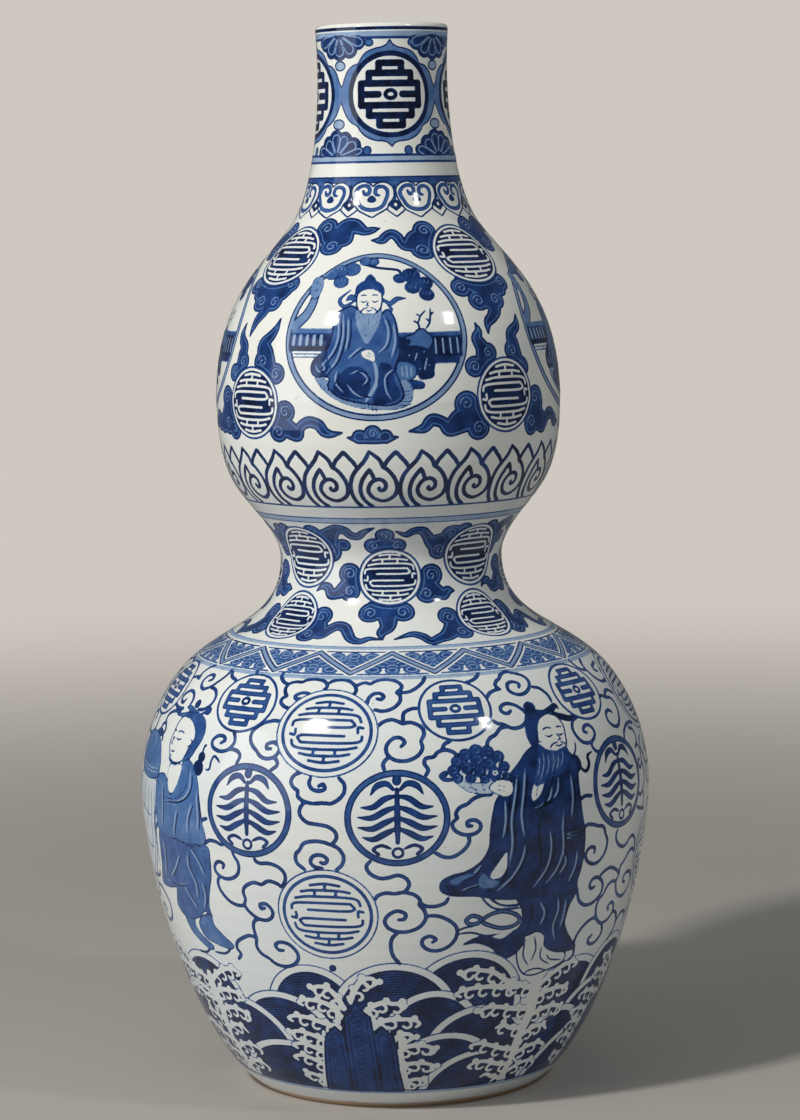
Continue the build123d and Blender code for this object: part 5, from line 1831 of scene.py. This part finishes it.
def add_node(tree, kind, *values, output=0, sockets=None, **settings):
    """Adds a node and returns one of its outputs. The values, or links, go to the node's
    sockets in order, or to those that are named."""
    made = tree.nodes.new(kind)
    for setting, value in settings.items():
        setattr(made, setting, value)
    for socket, value in zip(sockets or range(len(values)), values):
        if isinstance(value, bpy.types.NodeSocket):
            tree.links.new(value, made.inputs[socket])
        else:
            made.inputs[socket].default_value = value
    return made.outputs[output] if made.outputs else made


def new_material(name):
    """A material with an empty tree."""
    material = bpy.data.materials.new(name)
    material.use_nodes = True
    material.node_tree.nodes.clear()
    return material


def cobalt_under_glaze():
    """Porcelain painted in cobalt: the marks' distances become strokes, washes and lines,
    their strength becomes blue, and the glaze lies over all but the foot's edge."""
    material = new_material("porcelain_cobalt_under_clear_glaze")
    add = partial(add_node, material.node_tree)
    place = add("ShaderNodeTexCoord", output="Object")
    marks = {
        name: add("ShaderNodeAttribute", output="Fac", attribute_name=name) for name in MARKS
    }
    wobble = add(NOISE, place, 1 / (BRUSH_GRAIN * MM), 2.0, 0.55, **GRAIN)
    wobble = add(MATH, wobble, BRUSH_WOBBLE, -BRUSH_WOBBLE / 2, operation="MULTIPLY_ADD")
    line, wash, pale = (add(MATH, marks[name], wobble) for name in ("line", "wash", "pale"))
    pooling = add(NOISE, place, 1 / (POOLING * MM), 4.0, 0.6, **GRAIN)

    # a wash: its strength pools, and water has fine lines combed through it
    washed = add(RANGE, wash, SOFT_EDGE, -SOFT_EDGE, **SMOOTH)
    pooled = add(RANGE, pooling, 0.3, 0.72, 0.82, 1.16)
    water = add(MATH, marks["comb"], 2 * np.pi / COMB_PITCH, operation="MULTIPLY")
    water = add(MATH, water, operation="SINE")
    water = add(RANGE, water, -1, 1, -0.2, 0.1)
    water = add(MATH, water, marks["combed"], operation="MULTIPLY")
    strength = add(MATH, marks["depth"], pooled, water, operation="MULTIPLY_ADD")
    strength = add(MATH, strength, washed, operation="MULTIPLY")

    # lines left pale in a wash, and the pale line inside a cloud's edge
    inset = add(MATH, add(MATH, wash, 1.5), operation="ABSOLUTE")
    inset = add(RANGE, inset, 0.6, 0.15, 0, 0.62, **SMOOTH)
    clouded = add(MATH, marks["rim"], 1.5, operation="GREATER_THAN")
    inset = add(MATH, inset, clouded, operation="MULTIPLY")
    reserved = add(RANGE, pale, SOFT_EDGE, -SOFT_EDGE, **SMOOTH)
    reserved = add(MATH, reserved, inset, operation="MAXIMUM")
    reserved = add(MATH, reserved, washed, operation="MULTIPLY")
    thinned = add(MATH, 0.24, strength, operation="SUBTRACT")
    strength = add(MATH, thinned, reserved, strength, operation="MULTIPLY_ADD")

    # the dark edge of a wash, and brush lines, which are paler along the middle
    contour = add(MATH, add(MATH, wash, 0.15), operation="ABSOLUTE")
    contour = add(RANGE, contour, 0.62, 0.3, 0, 0.84, **SMOOTH)
    edged = add(MATH, marks["rim"], 0.5, operation="GREATER_THAN")
    contour = add(MATH, contour, edged, operation="MULTIPLY")
    drawn = add(RANGE, line, SOFT_EDGE, -SOFT_EDGE, **SMOOTH)
    drawn = add(MATH, drawn, marks["ink"], operation="MULTIPLY")
    paused = add(RANGE, pooling, 0.3, 0.7, 0.82, 1.14)
    drawn = add(MATH, drawn, paused, operation="MULTIPLY")
    core = add(RANGE, line, -0.42, -0.9, **SMOOTH)
    thin = add(RANGE, marks["ink"], 0.92, 0.82, 0, 0.24, **SMOOTH)
    core = add(MATH, 1.0, add(MATH, core, thin, operation="MULTIPLY"), operation="SUBTRACT")
    drawn = add(MATH, drawn, core, operation="MULTIPLY")
    strength = add(MATH, strength, contour, operation="MAXIMUM")
    strength = add(MATH, strength, drawn, operation="MAXIMUM")

    # white clay, blue over it, and specks of iron burnt through the glaze
    blue = add("ShaderNodeValToRGB", strength)
    stops = blue.node.color_ramp.elements
    for position, colour in COBALT[1:-1]:
        stops.new(position).color = linear(colour)
    stops[0].color = linear(COBALT[0][1])
    stops[-1].color = linear(COBALT[-1][1])
    height = add("ShaderNodeSeparateXYZ", place, output="Z")
    cast = add(NOISE, place, 1 / (60 * MM), 2.0, **GRAIN)
    cast = add(MATH, cast, add(RANGE, height, 0.42, 0.1, -0.2, 0.25))
    white = add(MIX, cast, linear(GLAZE_WARM), linear(GLAZE_COOL), **COLOURS)
    painted = add(RANGE, strength, 0.0, 0.14, **SMOOTH)
    body = add(MIX, painted, white, blue, **COLOURS)
    cells = {"sockets": ("Vector", "Scale")}
    speck = add("ShaderNodeTexVoronoi", place, 1 / (9 * MM), output="Distance", **cells)
    speck = add(RANGE, speck, 0.05, 0.02)
    chosen = add("ShaderNodeTexVoronoi", place, 1 / (9 * MM), output="Color", **cells)
    chosen = add(MATH, chosen, 0.6, operation="GREATER_THAN")
    speck = add(MATH, speck, chosen, operation="MULTIPLY")
    body = add(MIX, speck, body, linear(IRON_SPECK), **COLOURS)

    # the unglazed edge of the foot, flashed brown where the glaze stops
    ragged = add(NOISE, place, 1 / (9 * MM), **GRAIN)
    height = add(MATH, ragged, 1.6 * MM, height, operation="MULTIPLY_ADD")
    bare = add(RANGE, height, 3.4 * MM, 2.9 * MM)
    flashed = add(RANGE, height, 5.2 * MM, 3.2 * MM, 0, 0.7)
    body = add(MIX, flashed, body, linear(BISCUIT_EDGE), **COLOURS)
    body = add(MIX, bare, body, linear(BISCUIT), **COLOURS)

    # glossy glaze with slow waves and a fine orange peel; bare clay is matt
    gloss = add(NOISE, place, 1 / (25 * MM), 3.0, **GRAIN)
    gloss = add(RANGE, gloss, 0.3, 0.7, 0.06, 0.13)
    matt = add(MATH, bare, 0.7, operation="MULTIPLY")
    gloss = add(MATH, gloss, matt, operation="MAXIMUM")
    waves = add(NOISE, place, 1 / (14 * MM), 1.0, **GRAIN)
    peel = add(NOISE, place, 1 / (1.6 * MM), 1.0, **GRAIN)
    waves = add(MATH, waves, 0.05 * MM, operation="MULTIPLY")
    waves = add(MATH, peel, 0.004 * MM, waves, operation="MULTIPLY_ADD")
    bump = add("ShaderNodeBump", waves, 1.0, sockets=("Height", "Distance"))
    sockets = ("Base Color", "Roughness", "Normal", "IOR")
    shader = add("ShaderNodeBsdfPrincipled", body, gloss, bump, 1.5, sockets=sockets)
    add("ShaderNodeOutputMaterial", shader)
    return material


painted_porcelain = cobalt_under_glaze()
for ring in rings:
    piece = wall_piece(ring, painted_porcelain)
    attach(piece, "root")
    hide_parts(*[node for node in ring.nodes if not node.endswith("slip_ring")])

# The luting slip
# Runny clay squeezed out of each joint as two sections were pressed together. Outside it
# was wiped flush; inside it stays as a low bead, out of reach of a sponge.
BEAD_HALF = 0.8
BEAD_REACH = 1.6
BEAD_TONGUE = 2.0
BEAD_COLUMNS = 256
SLIP_DARK = "#cfcabd"
SLIP_PALE = "#dedacf"


def slip_bead(name):
    """A bead round the inside of a joint: a flat tongue into the wall with a round nose."""
    low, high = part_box(name + "_slip_ring")
    middle = (low[2] + high[2]) / 2 / MM
    inner = np.interp(middle, inside_height, inside_radius)
    nose = np.radians(np.linspace(90, 270, 9))
    tongue = [inner + BEAD_TONGUE]
    radius = np.concatenate([tongue, inner - BEAD_REACH + BEAD_HALF * np.cos(nose), tongue])
    height = np.concatenate([[BEAD_HALF], BEAD_HALF * np.sin(nose), [-BEAD_HALF]]) + middle
    degrees = np.arange(BEAD_COLUMNS)[None, :] * 360 / BEAD_COLUMNS
    points = around(radius[:, None], height[:, None], degrees)
    triangles = between(EVEN, 0, len(radius), BEAD_COLUMNS, 1)
    row, column = triangles[..., 0] % len(radius), triangles[..., 1] % BEAD_COLUMNS
    place = row * BEAD_COLUMNS + column
    return add_mesh(name + "_slip_bead", points.reshape(-1, 3), place)


def dried_slip():
    """Vitrified porcelain slip under thin glaze: a little greyer and duller than the wall."""
    material = new_material("vitrified_porcelain_slip")
    add = partial(add_node, material.node_tree)
    place = add("ShaderNodeTexCoord", output="Object")
    grit = add(NOISE, place, 1 / (0.8 * MM), **GRAIN)
    colour = add(MIX, grit, linear(SLIP_DARK), linear(SLIP_PALE), **COLOURS)
    bump = add("ShaderNodeBump", grit, 0.05 * MM, sockets=("Height", "Distance"))
    sockets = ("Base Color", "Roughness", "Normal")
    shader = add("ShaderNodeBsdfPrincipled", colour, 0.45, bump, sockets=sockets)
    add("ShaderNodeOutputMaterial", shader)
    return material


slip = dried_slip()
for joint in JOINTS:
    piece = slip_bead(joint)
    piece.data.materials.append(slip)
    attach(piece, "root")
    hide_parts(joint + "_slip_ring")

# The floor, the backdrop and the light
# A round of pale paper under the vase that fades into a plain pale room, a lamp high on
# the left of the front, a window's soft light from the left, and a weak lamp on the right.
PAPER = "#b3afaa"
ROOM = "#cfc8c0"
ROOM_TINT = "#e8ebe8"
ROOM_LIGHT = 0.26
ROOM_MIRRORED = 0.13
PAPER_RADIUS = 2.6
FADE_FROM = 0.5


def paper_round():
    """A flat disc of paper on the floor."""
    turn = np.linspace(0, 2 * np.pi, 96, endpoint=False)
    points = np.column_stack([PAPER_RADIUS * np.cos(turn), PAPER_RADIUS * np.sin(turn), 0 * turn])
    last = np.arange(1, len(turn) - 1)
    return add_mesh("paper", points / MM, np.column_stack([0 * last, last, last + 1]))


def matt_paper():
    """Matt uncoated paper: no sheen, and it thins out to nothing towards its edge."""
    material = new_material("matt_paper")
    add = partial(add_node, material.node_tree)
    place = add("ShaderNodeTexCoord", output="Object")
    away = add("ShaderNodeVectorMath", place, output="Value", operation="LENGTH")
    away = add(RANGE, away, FADE_FROM, PAPER_RADIUS, 1, 0, **SMOOTH)
    sockets = ("Base Color", "Roughness", "Alpha")
    shader = add("ShaderNodeBsdfPrincipled", linear(PAPER), 0.95, away, sockets=sockets)
    add("ShaderNodeOutputMaterial", shader)
    return material


floor = paper_round()
floor.data.materials.append(matt_paper())


def lamp(name, place, target, size, watts, colour):
    """A square soft box that points at a target."""
    light = bpy.data.lights.new(name, "AREA")
    light.shape = "RECTANGLE"
    light.size, light.size_y = size
    light.energy = watts
    light.color = linear(colour)[:3]
    holder = bpy.data.objects.new(name, light)
    bpy.context.scene.collection.objects.link(holder)
    aim = (Vector(place) - Vector(target)).to_track_quat("Z", "Y")
    holder.matrix_world = Matrix.LocRotScale(Vector(place), aim, None)


lamp("key", (-1.3, -1.35, 2.0), (0, 0, 0.36), (0.2, 0.24), 39, "#fffbf2")
lamp("window", (-2.3, -1.1, 0.8), (0, 0, 0.3), (1.8, 1.8), 17, "#f8fbff")
lamp("fill", (1.35, -1.05, 1.8), (0, 0, 0.4), (0.13, 0.15), 5.5, "#fbfcff")


def plain_room():
    """A dim room that lights the vase softly, and that the camera sees as a pale backdrop."""
    world = bpy.data.worlds.new("room")
    world.use_nodes = True
    world.node_tree.nodes.clear()
    add = partial(add_node, world.node_tree)
    seen = add("ShaderNodeLightPath", output="Is Camera Ray")
    mirrored = add("ShaderNodeLightPath", output="Is Glossy Ray")
    strength = add(RANGE, mirrored, 0, 1, ROOM_LIGHT, ROOM_MIRRORED)
    strength = add(RANGE, seen, 0, 1, strength, 1)
    colour = add(MIX, seen, linear(ROOM_TINT), linear(ROOM), **COLOURS)
    add("ShaderNodeOutputWorld", add("ShaderNodeBackground", colour, strength))
    return world


bpy.context.scene.world = plain_room()

# The camera
# It stands 2.1 m away at about the shoulder's height and looks a little down, with a
# slight roll, as the photograph was taken.
IMAGE_HEIGHT = 1120
FOCAL_PIXELS = 3426.07
SENSOR = 36.0
CAMERA_PLACE = (0.00556, -2.11076, 0.54993)
CAMERA_DOWN = 6.1635  # degrees
CAMERA_ROLL = -1.0245

camera_data = bpy.data.cameras.new("camera")
camera_data.sensor_width = SENSOR
camera_data.lens = FOCAL_PIXELS * SENSOR / IMAGE_HEIGHT
camera = bpy.data.objects.new("camera", camera_data)
bpy.context.scene.collection.objects.link(camera)
camera.matrix_world = (
    Matrix.Translation(CAMERA_PLACE)
    @ Matrix.Rotation(np.radians(90 - CAMERA_DOWN), 4, "X")
    @ Matrix.Rotation(np.radians(CAMERA_ROLL), 4, "Z")
)
bpy.context.scene.camera = camera
bpy.context.scene.view_settings.view_transform = "Standard"
